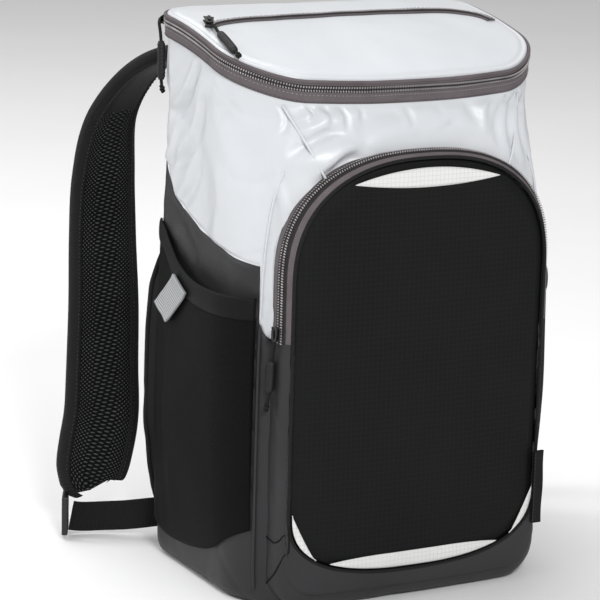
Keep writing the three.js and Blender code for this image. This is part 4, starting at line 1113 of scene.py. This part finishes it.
sideEdges = [  # depth, bottom, top
    (0.050, 0.078, 0.634), (0.110, 0.070, 0.632), (0.180, 0.058, 0.622), (0.262, 0.053, 0.600),
    (0.361, 0.055, 0.578), (0.508, 0.063, 0.564), (0.665, 0.081, 0.558), (0.800, 0.118, 0.556),
    (0.888, 0.140, 0.555),
]
sidePocket = {"front": depthAt(0.883), "back": depthAt(0.095), "bulge": 0.015, "rim": 0.018, "sheet": 0.0012}


def sideOut(u, v):
    full = mix(0.55, 1.1, smoothStep(0.60, 0.95, u))
    across = math.sin(math.pi * clamp(u, 0.0, 1.0)) ** full if 0 < u < 1 else 0
    drawnIn = mix(0.25, 1.15, smoothStep(0.25, 0.80, u))  # the rim is drawn in towards the back
    along = math.sin(min(1, v * 1.5) * math.pi / 2) ** 0.8 - drawnIn * max(0, v - 0.5)
    crease = 0.16 * hill(u, 0.78, 0.06) * math.sin(math.pi * clamp(v))
    return 0.0008 + sidePocket["bulge"] * across * (along - crease)


def sideHeight(y, column):
    return bag["height"] * readTable(sideEdges, (bag["backReach"] - y) / bagDepth, column)


for side, word in ((-1, "left"), (1, "right")):
    def pocketPlace(u, v):
        y = mix(sidePocket["front"], sidePocket["back"], u)
        z = mix(sideHeight(y, 1), sideHeight(y, 2) - sidePocket["rim"] + 0.001, v)
        loose = 0.0012 * cloudy((y, side, z), 22, 6.0) * math.sin(math.pi * clamp(u)) * smoothStep(0, 0.2, v)
        return sidePoint(y, z, sideOut(u, v) + loose + 0.0012, side)

    def rimPlace(u, v):
        y = mix(sidePocket["front"], sidePocket["back"], u)
        z = mix(sideHeight(y, 2) - sidePocket["rim"], sideHeight(y, 2), v)
        roll = 0.0012 * math.sin(math.pi * clamp(v)) ** 0.5 if 0 < v < 1 else 0
        return sidePoint(y, z, sideOut(u, 1) + 0.0014 + roll, side)

    pocketGrid = gridMesh(90, 60, pocketPlace, size=(0.17, 0.24))
    closePiece(pocketGrid, word + "PocketMesh", pocketMesh, "black_mesh", [word + "_side_pocket"],
               wall=sidePocket["sheet"], flip=side < 0)
    rimGrid = gridMesh(90, 8, rimPlace, size=(0.17, 0.018))
    closePiece(rimGrid, word + "PocketRim", blackCloth, "black_ripstop", [word + "_pocket_rim"],
               wall=0.0018, flip=side < 0)

    tabCorners = [(0.390, 0.558), (0.545, 0.537), (0.335, 0.465), (0.150, 0.484)]

    def tabPlace(u, v):
        corner = [(depthAt(d), h * bag["height"]) for d, h in tabCorners]
        y = mix(mix(corner[0][0], corner[3][0], u), mix(corner[1][0], corner[2][0], u), v)
        z = mix(mix(corner[0][1], corner[3][1], u), mix(corner[1][1], corner[2][1], u), v)
        share = clamp((y - sidePocket["front"]) / (sidePocket["back"] - sidePocket["front"]), 0.02, 0.98)
        curl = 0.0016 * hill(u, 0.0, 0.12) + 0.0010 * hill(u, 1.0, 0.12)
        low, high = sideHeight(y, 1), sideHeight(y, 2)
        return sidePoint(y, z, sideOut(share, clamp((z - low) / (high - low))) + 0.0046 + curl, side)

    tabGrid = gridMesh(40, 16, tabPlace, uvOf=lambda u, v: (v * 0.026, u * 0.045))
    closePiece(tabGrid, word + "Tab", tabWebbing, "tab_webbing", [word + "_side_tab"],
               wall=0.0018, flip=side > 0)

    weltY = sidePocket["front"] - 0.0022
    end = walls["tongueEnd"]
    spans = (("Welt", 0.012, end + 0.012, 0.0014, greyCloth, "grey_fabric", [word + "_side_welt"]),
             ("UpperWelt", end + 0.014, 0.345, 0.0010, whiteCloth, "white_fabric", []))
    for part, low, high, radius, cloth, slotName, nodes in spans:
        weltPoints = [sidePoint(weltY, mix(low, high, k / 16), radius * 0.8, side) for k in range(17)]
        weltPath, _ = smoothPath(weltPoints, 60)
        tubePiece(word + part, weltPath, radius, cloth, slotName, nodes, 10)

    seamRows = [(0.770, 0.884), (0.735, 0.860), (0.700, 0.835), (0.665, 0.810), (0.635, 0.788),
                (0.605, 0.769), (0.578, 0.753)]
    seamPoints = [frontPoint(side * a * bag["halfWidth"], h * bag["height"], 0.0007) for a, h in seamRows]
    seamPath, _ = smoothPath(seamPoints, 40)
    tubePiece(word + "FrontSeam", seamPath, 0.0010, whiteCloth, "white_fabric", [word + "_front_seam"], 10)
print("side pockets made")


# Padded pieces keep to their CAD solids: a merged copy, remeshed and swollen a little

def solidCopy(name, source, voxel):
    mesh = bmesh.new()
    mesh.from_mesh(frame["nodes"][source].data)
    bmesh.ops.remove_doubles(mesh, verts=mesh.verts, dist=1e-6)
    data = bpy.data.meshes.new(name)
    mesh.to_mesh(data)
    mesh.free()
    piece = emptyPiece(name, data)
    remesh = piece.modifiers.new("remesh", "REMESH")
    remesh.mode = "VOXEL"
    remesh.voxel_size = voxel
    applyModifiers(piece)
    return piece


def applyModifiers(piece):
    graph = bpy.context.evaluated_depsgraph_get()
    done = bpy.data.meshes.new_from_object(piece.evaluated_get(graph))
    piece.modifiers.clear()
    old = piece.data
    piece.data = done
    bpy.data.meshes.remove(old)


def swell(piece, pressure, reach):
    start = [v.co.copy() for v in piece.data.vertices]
    cloth = piece.modifiers.new("cloth", "CLOTH")
    cloth.settings.use_pressure = True
    cloth.settings.uniform_pressure_force = pressure
    cloth.settings.effector_weights.gravity = 0.0
    for step in range(1, 21):
        scene.frame_set(step)
    applyModifiers(piece)
    scene.frame_set(1)
    for vert, origin in zip(piece.data.vertices, start):
        move = vert.co - origin
        if move.length > reach:
            vert.co = origin + move.normalized() * reach


backPad = solidCopy("backPad", "back_panel", 0.004)
swell(backPad, 4.0, 0.004)
finer = backPad.modifiers.new("finer", "SUBSURF")
finer.levels = 1
finer.render_levels = 1
applyModifiers(backPad)


def treeOf(data):
    mesh = bmesh.new()
    mesh.from_mesh(data)
    tree = BVHTree.FromBMesh(mesh)
    mesh.free()
    return tree


pad = {"centre": Vector((0, bag["backReach"] + 0.006, 0.20)), "border": 0.013, "channel": 0.005,
       "binding": 0.0026}
padTree = treeOf(backPad.data)


def padEdge(angle):
    aim = Vector((math.sin(angle), 0, math.cos(angle)))
    return padTree.ray_cast(pad["centre"] + aim * 0.6, -aim)[0]


padRing = [padEdge(math.tau * k / 120) for k in range(120)]
padReach = [(k / 120, (padRing[k % 120] - pad["centre"]).length) for k in range(121)]
for vert in backPad.data.vertices:
    if vert.co.y > bag["backReach"] + 0.009:
        angle = math.atan2(vert.co.x, vert.co.z - pad["centre"].z) / math.tau % 1.0
        inset = readTable(padReach, angle, 1) - math.hypot(vert.co.x, vert.co.z - pad["centre"].z)
        vert.co.y -= 0.0028 * hill(inset, pad["border"], 0.0036)
        vert.co.y -= 0.0034 * hill(vert.co.x, 0, pad["channel"]) * smoothStep(0.012, 0.030, inset)
padTree = treeOf(backPad.data)
backPad.data.materials.clear()
backPad.data.materials.append(padMesh)
backPad.data.shade_smooth()
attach(backPad, "root")
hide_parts("back_panel")


def onPad(x, z, rise):
    hit = padTree.ray_cast(Vector((x, 0.4, z)), Vector((0, -1, 0)))[0]
    return Vector((x, hit.y + rise, z))


def padBorder(t, rise):
    angle = math.tau * t
    reach = readTable(padReach, t, 1) - pad["border"]
    return onPad(reach * math.sin(angle), pad["centre"].z + reach * math.cos(angle), rise)


padBinding, _ = smoothPath(padRing, 360, True)
tubePiece("backPadBinding", padBinding, pad["binding"], binding, "black_mesh", (), 10, True)
stitches("backPadStitches", padBorder, darkThread, "black_mesh", pitch=0.005)
print("back pad made")


# Shoulder straps, lower webbing and buckles

strapRows = [  # out, back, height, width, turn in degrees
    (0.0660, 0.002, 0.398, 0.80, 32), (0.0800, 0.022, 0.408, 0.84, 34), (0.0990, 0.048, 0.405, 0.90, 34),
    (0.1170, 0.074, 0.384, 0.96, 32), (0.1335, 0.090, 0.346, 1.00, 25), (0.1380, 0.094, 0.298, 0.99, 10),
    (0.1410, 0.088, 0.245, 0.98, 0), (0.1430, 0.080, 0.190, 1.03, 0), (0.1475, 0.071, 0.138, 1.06, 0),
    (0.1515, 0.063, 0.100, 1.10, 0), (0.1590, 0.057, 0.072, 1.10, 0), (0.1650, 0.053, 0.053, 1.03, 0),
    (0.1670, 0.051, 0.0435, 0.84, 0), (0.1655, 0.050, 0.038, 0.54, 0),
]
strap = {"width": 0.060, "thickness": 0.013, "webbing": 0.025, "steps": 150, "edge": 58, "bound": 0.0007}


def strapPathFrames(side):
    centres = [Vector((side * row[0], bag["backReach"] + row[1], row[2])) for row in strapRows]
    path, length = smoothPath(centres, strap["steps"] + 1)
    shares = reachAlong(centres)
    table = [(s / shares[-1], row[3], row[4]) for s, row in zip(shares, strapRows)]
    frames = []
    for i, point in enumerate(path):
        t = i / strap["steps"]
        turn = math.radians(readTable(table, t, 2))
        hint = Vector((math.cos(turn), -side * math.sin(turn), 0))
        along = (path[min(len(path) - 1, i + 1)] - path[max(0, i - 1)]).normalized()
        across = (hint - along * hint.dot(along)).normalized()
        frames.append((point, along, across, along.cross(across).normalized(), readTable(table, t, 1)))
    return frames, length


def strapSection(frame, degrees, proud=0.0):
    point, along, across, face, width = frame
    c, s = math.cos(math.radians(degrees)), math.sin(math.radians(degrees))
    wide = math.copysign(abs(c) ** 0.55, c) * (strap["width"] / 2 * width + proud)
    thick = math.copysign(abs(s) ** 0.75, s) * (strap["thickness"] / 2 + proud)
    return point + across * wide + face * thick


def ribbonFrames(path, hint):
    frames = []
    for i, point in enumerate(path):
        along = (path[min(len(path) - 1, i + 1)] - path[max(0, i - 1)]).normalized()
        across = (hint - along * hint.dot(along)).normalized()
        frames.append((point, along, across, along.cross(across).normalized()))
    return frames


buckle = {"width": 0.033, "height": 0.026, "thickness": 0.005, "bar": 0.004, "slot": 0.0055, "round": 0.0011,
          "place": (-0.1901, 0.1460, 0.0205), "turn": math.pi / 2 - 0.45}


def bucklePiece(side, word):
    # a flat frame of grid cells with two slots left open
    w, h, bar, slot = (buckle[key] for key in ("width", "height", "bar", "slot"))
    across = [-w / 2, bar - w / 2, w / 2 - bar, w / 2]
    up = [-h / 2, bar - h / 2, bar + slot - h / 2, h / 2 - bar - slot, h / 2 - bar, h / 2]
    mesh = bmesh.new()
    mesh.loops.layers.uv.new("cloth")
    bmesh.ops.create_grid(mesh, x_segments=3, y_segments=5, size=0.5)
    slots = []
    for face in mesh.faces:
        middle = face.calc_center_median()
        if abs(middle.x) < 0.1 and 0.1 < abs(middle.y) < 0.35:
            slots.append(face)
    for vert in mesh.verts:
        vert.co.x = across[round((vert.co.x + 0.5) * 3)]
        vert.co.y = up[round((vert.co.y + 0.5) * 5)]
    bmesh.ops.delete(mesh, geom=slots, context="FACES")
    body = bmesh.ops.extrude_face_region(mesh, geom=mesh.faces[:])
    lifted = [v for v in body["geom"] if isinstance(v, bmesh.types.BMVert)]
    bmesh.ops.translate(mesh, verts=lifted, vec=(0, 0, buckle["thickness"]))
    bmesh.ops.translate(mesh, verts=mesh.verts, vec=(0, 0, -buckle["thickness"] / 2))
    bmesh.ops.recalc_face_normals(mesh, faces=mesh.faces)
    sharp = [e for e in mesh.edges if len(e.link_faces) == 2 and e.calc_face_angle() > 0.7]
    bmesh.ops.bevel(mesh, geom=sharp, offset=buckle["round"], offset_type="OFFSET", segments=3, profile=0.5,
                    affect="EDGES", clamp_overlap=True, material=-1)
    spin = Matrix.Rotation(buckle["turn"], 4, "Z") @ Matrix.Rotation(math.pi / 2, 4, "X")
    spin = Matrix.Translation(buckle["place"]) @ spin @ Matrix.Rotation(math.pi / 2, 4, "Z")
    if side > 0:
        spin = Matrix.Scale(-1, 4, (1, 0, 0)) @ spin
    bmesh.ops.transform(mesh, verts=mesh.verts, matrix=spin)
    bmesh.ops.recalc_face_normals(mesh, faces=mesh.faces)
    return closePiece(mesh, word + "Buckle", plastic, "black_plastic", [word + "_buckle"])


for side, word in ((-1, "left"), (1, "right")):
    strapFrames, length = strapPathFrames(side)
    steps = strap["steps"]

    def strapPlace(u, v):
        i = round(v * steps)
        point = strapSection(strapFrames[i], 360 * u)
        if i in (0, steps):
            return strapFrames[i][0].lerp(point, 0.2)
        soft = 0.0008 * cloudy(point, 30, 8.0)
        return point + strapFrames[i][3] * soft

    mesh = gridMesh(48, steps, strapPlace, size=(0.15, length))
    for face in mesh.faces:
        middle = sum(loop[mesh.loops.layers.uv[0]].uv.x for loop in face.loops) / len(face.loops)
        height = face.calc_center_median().z  # air mesh towards the back and below, plain cloth elsewhere
        face.material_index = 0 if middle < 0.075 and height < 0.352 else 1
    bmesh.ops.remove_doubles(mesh, verts=mesh.verts, dist=2e-5)
    bmesh.ops.recalc_face_normals(mesh, faces=mesh.faces)
    piece = closePiece(mesh, word + "StrapPad", airMesh, "black_mesh", [word + "_strap"])
    piece.data.materials.append(blackCloth)

    for edge, middle in (("Outer", 180 if side < 0 else 0), ("Inner", 0 if side < 0 else 180)):
        def boundPlace(u, v):
            i = round(v * steps)
            degrees = middle + mix(-strap["edge"], strap["edge"], u)
            proud = strap["bound"] * (1.3 if 0.02 < u < 0.98 else 0.3)
            return strapSection(strapFrames[i], degrees, proud)

        boundMesh = gridMesh(16, steps, boundPlace, size=(0.022, length))
        bmesh.ops.recalc_face_normals(boundMesh, faces=boundMesh.faces)
        closePiece(boundMesh, word + "Strap" + edge + "Binding", binding, "webbing", [], wall=0.0006)

        def rowPlace(t, rise):
            spot = t * steps
            i = min(steps - 1, int(spot))
            turn = middle + (strap["edge"] * 0.86) * (1 if middle == 0 else -1)
            a, b = (strapSection(strapFrames[k], turn, strap["bound"] * 1.6 + rise) for k in (i, i + 1))
            return a.lerp(b, spot - i)
        stitches(word + "Strap" + edge + "Stitches", rowPlace, darkThread, "webbing", start=0.03, end=0.97)

    webRows = [(0.112, 0.009, 0.024), (0.128, 0.017, 0.0215), (0.144, 0.029, 0.018), (0.160, 0.040, 0.016),
               (0.175, 0.046, 0.0155), (0.1848, 0.048, 0.017)]
    webPath, webLength = smoothPath([Vector((side * o, bag["backReach"] + b, h)) for o, b, h in webRows], 50)
    webFrames = ribbonFrames(webPath, Vector((0, 0, 1)))

    def webPlace(u, v):
        point, _, across, face = webFrames[round(v * 49)]
        crown = 0.0003 * math.sin(math.pi * u)
        return point + across * (u - 0.5) * strap["webbing"] + face * crown

    webMesh = gridMesh(12, 49, webPlace, size=(strap["webbing"], webLength))
    closePiece(webMesh, word + "Webbing", webbing, "webbing", [word + "_strap_webbing"], wall=0.0018)
    bucklePiece(side, word)
print("straps made")


# Zip pulls: slider, cord, ringed tube and knot, on the places that the solids hold

pulls = {"cord": 0.0013, "tube": 0.0033, "knot": 0.0021, "rings": 11, "slider": (0.011, 0.0085, 0.005)}
pullPoints = {
    "lidZip": [(-0.1315, 0.0915, 0.4399), (-0.1359, 0.0909, 0.4389), (-0.1373, 0.0849, 0.4281),
               (-0.1375, 0.0825, 0.4129), (-0.1374, 0.0825, 0.3935), (-0.1368, 0.0816, 0.3859)],
    "lidPocket": [(-0.1275, 0.0190, 0.0052), (-0.1275, 0.0090, 0.0046), (-0.1285, 0.0000, 0.0040),
                  (-0.1298, -0.0160, 0.0040), (-0.1310, -0.0330, 0.0040), (-0.1315, -0.0405, 0.0036)],
    "pocketZip": [(-0.1217, -0.0941, 0.2226), (-0.1223, -0.0915, 0.2096), (-0.1226, -0.0894, 0.1988),
                  (-0.1226, -0.0884, 0.1869), (-0.1233, -0.0884, 0.1750), (-0.1250, -0.0874, 0.1637)],
}


def sliderPiece(name, place, along, face):
    # two plates, a wedge between them and a bridge for the cord
    length, width, thick = pulls["slider"]
    mesh = bmesh.new()
    mesh.loops.layers.uv.new("cloth")
    across = face.cross(along).normalized()
    turn = Matrix.Translation(place) @ Matrix((along, across, face)).transposed().to_4x4()
    for size, lift, back in (((1.00, 1.00, 0.24), 0.30, 0.0), ((0.60, 0.40, 0.45), 0.0, 0.16),
                             ((1.00, 1.00, 0.24), -0.30, 0.0), ((0.66, 0.30, 0.26), 0.62, 0.0)):
        shape = (Matrix.Translation((back * length, 0, lift * thick))
                 @ Matrix.Diagonal((size[0] * length, size[1] * width, size[2] * thick, 1.0)))
        made = bmesh.ops.create_cube(mesh, size=1.0, matrix=shape)
        for vert in made["verts"]:
            if size[0] == 1.0 and vert.co.x < 0:
                vert.co.y *= 0.66
        edges = list({e for v in made["verts"] for e in v.link_edges})
        bmesh.ops.bevel(mesh, geom=edges, offset=min(size[2] * thick * 0.42, 0.0008), offset_type="OFFSET",
                        segments=3, profile=0.5, affect="EDGES", clamp_overlap=True, material=-1)
    bmesh.ops.transform(mesh, matrix=turn, verts=mesh.verts)
    return closePiece(mesh, name + "Slider", plastic, "black_plastic")


def pullPieces(name, points, tubeSpan, along, face, nodes):
    path, length = smoothPath(points, 60)
    cord = tubePiece(name + "PullCord", path, pulls["cord"], cordCloth, "black_plastic", nodes, 10)
    first, last = (round(59 * share) for share in tubeSpan)
    tubePath, _ = smoothPath(path[first:last + 1], 90)

    def tubeRadius(t):
        ends = clamp(min(t, 1 - t) * 9) ** 0.5
        ring = 0.5 + 0.5 * math.cos(2 * math.pi * pulls["rings"] * t)
        return pulls["tube"] * (0.55 + 0.45 * ends) * (0.92 + 0.08 * ring)

    tube = tubePiece(name + "PullTube", tubePath, tubeRadius, rubber, "black_plastic", (), 20)
    end = path[-1]
    drop = (path[-1] - path[-4]).normalized()
    side = drop.orthogonal().normalized()
    other = drop.cross(side)
    coil = []
    for k in range(26):
        t = k / 25
        angle = t * 4.2 * math.pi
        reach = pulls["knot"] * math.sin(math.pi * mix(0.16, 0.84, t)) ** 0.5 * 0.55
        coil.append(end + drop * ((t - 0.5) * 0.0052) + side * (reach * math.cos(angle))
                    + other * (reach * math.sin(angle)))
    knotPath, _ = smoothPath(coil, 70)
    knot = tubePiece(name + "PullKnot", knotPath, pulls["cord"] * 0.95, cordCloth, "black_plastic", (), 8)
    sliderPiece(name, Vector(points[0]), along, face)
    tuple(path[0])
    [tuple(p) for p in path]


pullPieces("lidZip", pullPoints["lidZip"], (0.36, 0.88), Vector((0.70, 0.71, 0)).normalized(),
           Vector((-0.71, 0.70, 0.1)).normalized(), ["lid_zip_pull"])
pullPieces("pocketZip", pullPoints["pocketZip"], (0.38, 0.80), Vector((0, 0, 1)),
           Vector((-1, 0, 0)), ["pocket_zip_pull"])
print("zip pulls made")


# Lid pocket zip: tape and teeth laid on the lid

lidZip = {"halfTape": 0.0050, "pitch": 0.0020}
lidZipRow = [(-0.1262, 0.0185), (-0.1205, 0.0235), (-0.1080, 0.0268), (-0.0880, 0.0285), (-0.0500, 0.0300),
             (0.0, 0.0310), (0.0500, 0.0310), (0.0880, 0.0295), (0.1100, 0.0255), (0.1205, 0.0180),
             (0.1245, 0.0090)]
lidZipPath, lidZipLength = smoothPath([(x, y, 0.0) for x, y in lidZipRow], 201)


def onLid(x, y, rise):
    hit = lidTree.ray_cast(Vector((x, y, 1.0)), Vector((0, 0, -1)))[0]
    return Vector((x, y, (hit.z if hit else lidTop(x, y)) + rise))


def lidZipPlace(t, shift, rise):
    spot = clamp(t) * 200
    i = min(199, int(spot))
    point = lidZipPath[i].lerp(lidZipPath[i + 1], spot - i)
    along = (lidZipPath[min(200, i + 2)] - lidZipPath[max(0, i - 1)]).normalized()
    return onLid(point.x - along.y * shift, point.y + along.x * shift, rise)


def lidBand(name, half, rises, material, slotName, nodes, thickness):
    def place(u, v):
        return lidZipPlace(u, mix(-half, half, v), readTable(rises, v, 1))
    mesh = gridMesh(200, 8, place, size=(lidZipLength, half * 2))
    return closePiece(mesh, name, material, slotName, nodes, wall=thickness)


lidBand("lidPocketTape", lidZip["halfTape"],
        [(0, 0.0006), (0.12, 0.0013), (0.5, 0.0014), (0.88, 0.0013), (1, 0.0006)],
        zipTape, "zip_tape", ["lid_pocket_tape"], 0.0007)
lidBand("lidPocketZipBed", lidZip["halfTape"] * 0.62, [(0, 0.0015), (0.5, 0.0022), (1, 0.0015)],
        darkTape, "zip_coil", [], 0.0005)
laidPieces("lidPocketTeeth", laidFrames(lambda t, rise: lidZipPlace(t, 0, 0.0024 + rise), lidZip["pitch"]),
           [(-0.0013, 0.25), (0.0013, -0.25)], highlitZipTeeth, "zip_coil", ["lid_pocket_coil"],
           (0.0012, 0.0020, 0.0015))
for side, word in ((-1, "Front"), (1, "Back")):
    stitches("lidPocket" + word + "Stitches", lambda t, rise: lidZipPlace(t, side * 0.0042, 0.0015 + rise),
             darkThread, "zip_tape")
pullPieces("lidPocket", [onLid(*spot) for spot in pullPoints["lidPocket"]], (0.36, 0.90),
           Vector((0.35, 0.94, 0.25)).normalized(), Vector((0, -0.26, 0.97)).normalized(),
           ["lid_pocket_pull"])
print("lid pocket zip made")


# Blank label folded into the right seam of the pocket

label = {"seam": 0.1085, "width": 0.0090, "front": -0.1086, "gap": 0.0020, "middle": 0.0780, "height": 0.060}


def labelPlace(u, v):
    bend = label["gap"] / 2
    flat = label["width"] - bend
    if u < 0.45:
        x, y = label["seam"] + flat * u / 0.45, label["front"]
    elif u > 0.55:
        x, y = label["seam"] + flat * (1 - u) / 0.45, label["front"] + label["gap"]
    else:
        angle = (u - 0.45) / 0.10 * math.pi
        x, y = label["seam"] + flat + bend * math.sin(angle), label["front"] + bend * (1 - math.cos(angle))
    z = label["middle"] + (v - 0.5) * label["height"]
    return Vector((x, y + 0.0006 * math.sin(v * 9) * (1 - abs(2 * u - 1)), z))


labelMesh = gridMesh(40, 24, labelPlace, size=(0.020, label["height"]))
closePiece(labelMesh, "seamLabel", labelCloth, "black_ripstop", ["seam_label"], wall=0.0004, flip=True)
stitches("labelStitches", lambda t, rise: labelPlace(0.06, t) - Vector((0, rise + 0.0002, 0)), darkThread,
         "black_ripstop", start=0.04, end=0.96, pitch=0.003)
print("label made")


# Stage, lights and camera

floorMesh = bmesh.new()
bmesh.ops.create_grid(floorMesh, x_segments=1, y_segments=1, size=6.0)
floorData = bpy.data.meshes.new("floor")
floorMesh.to_mesh(floorData)
floorMesh.free()
floor = emptyPiece("floor", floorData)
floorData.materials.append(makePlain("paleFloor", (0.86, 0.86, 0.86), (0.88, 0.88, 0.88), 0.8, 3.0, 0.0))

world = bpy.data.worlds.new("studio")
scene.world = world
world.use_nodes = True
world.node_tree.nodes["Background"].inputs["Color"].default_value = (1, 1, 1, 1)
world.node_tree.nodes["Background"].inputs["Strength"].default_value = 0.44
scene.view_settings.view_transform = "Standard"


def areaLight(name, place, target, size, power):
    data = bpy.data.lights.new(name, "AREA")
    data.energy = power
    data.size = size
    light = emptyPiece(name, data)
    light.location = place
    light.rotation_euler = (Vector(target) - Vector(place)).to_track_quat("-Z", "Y").to_euler()


areaLight("keyLight", (-0.7, -2.3, 1.7), (0, 0, 0.25), 0.6, 44)
areaLight("topLight", (-0.4, 1.2, 3.0), (0, 0.3, 0), 2.6, 62)
areaLight("sideLight", (-1.9, 1.5, 1.5), (0, 0, 0.3), 0.7, 20)


def placeCamera(azimuth, elevation, roll, focal, distance, shiftX, shiftZ):
    back = Vector((math.sin(azimuth) * math.cos(elevation), -math.cos(azimuth) * math.cos(elevation),
                   math.sin(elevation)))
    right = Vector((math.cos(azimuth), math.sin(azimuth), 0))
    up = (-back).cross(right) * -1
    side = right * math.cos(roll) + up * math.sin(roll)
    top = up * math.cos(roll) - right * math.sin(roll)
    target = Vector((0, 0.04, 0.22)) + right * shiftX + up * shiftZ
    data = bpy.data.cameras.new("camera")
    data.sensor_width = 36
    data.lens = focal * 36 / 600
    camera = emptyPiece("camera", data)
    turn = Matrix((side, top, back)).transposed().to_4x4()
    camera.matrix_world = Matrix.Translation(target + back * distance) @ turn
    scene.camera = camera


placeCamera(-0.4974, 0.2261, 0.0276, 2704.48, 2.2242, -0.0255, -0.0103)
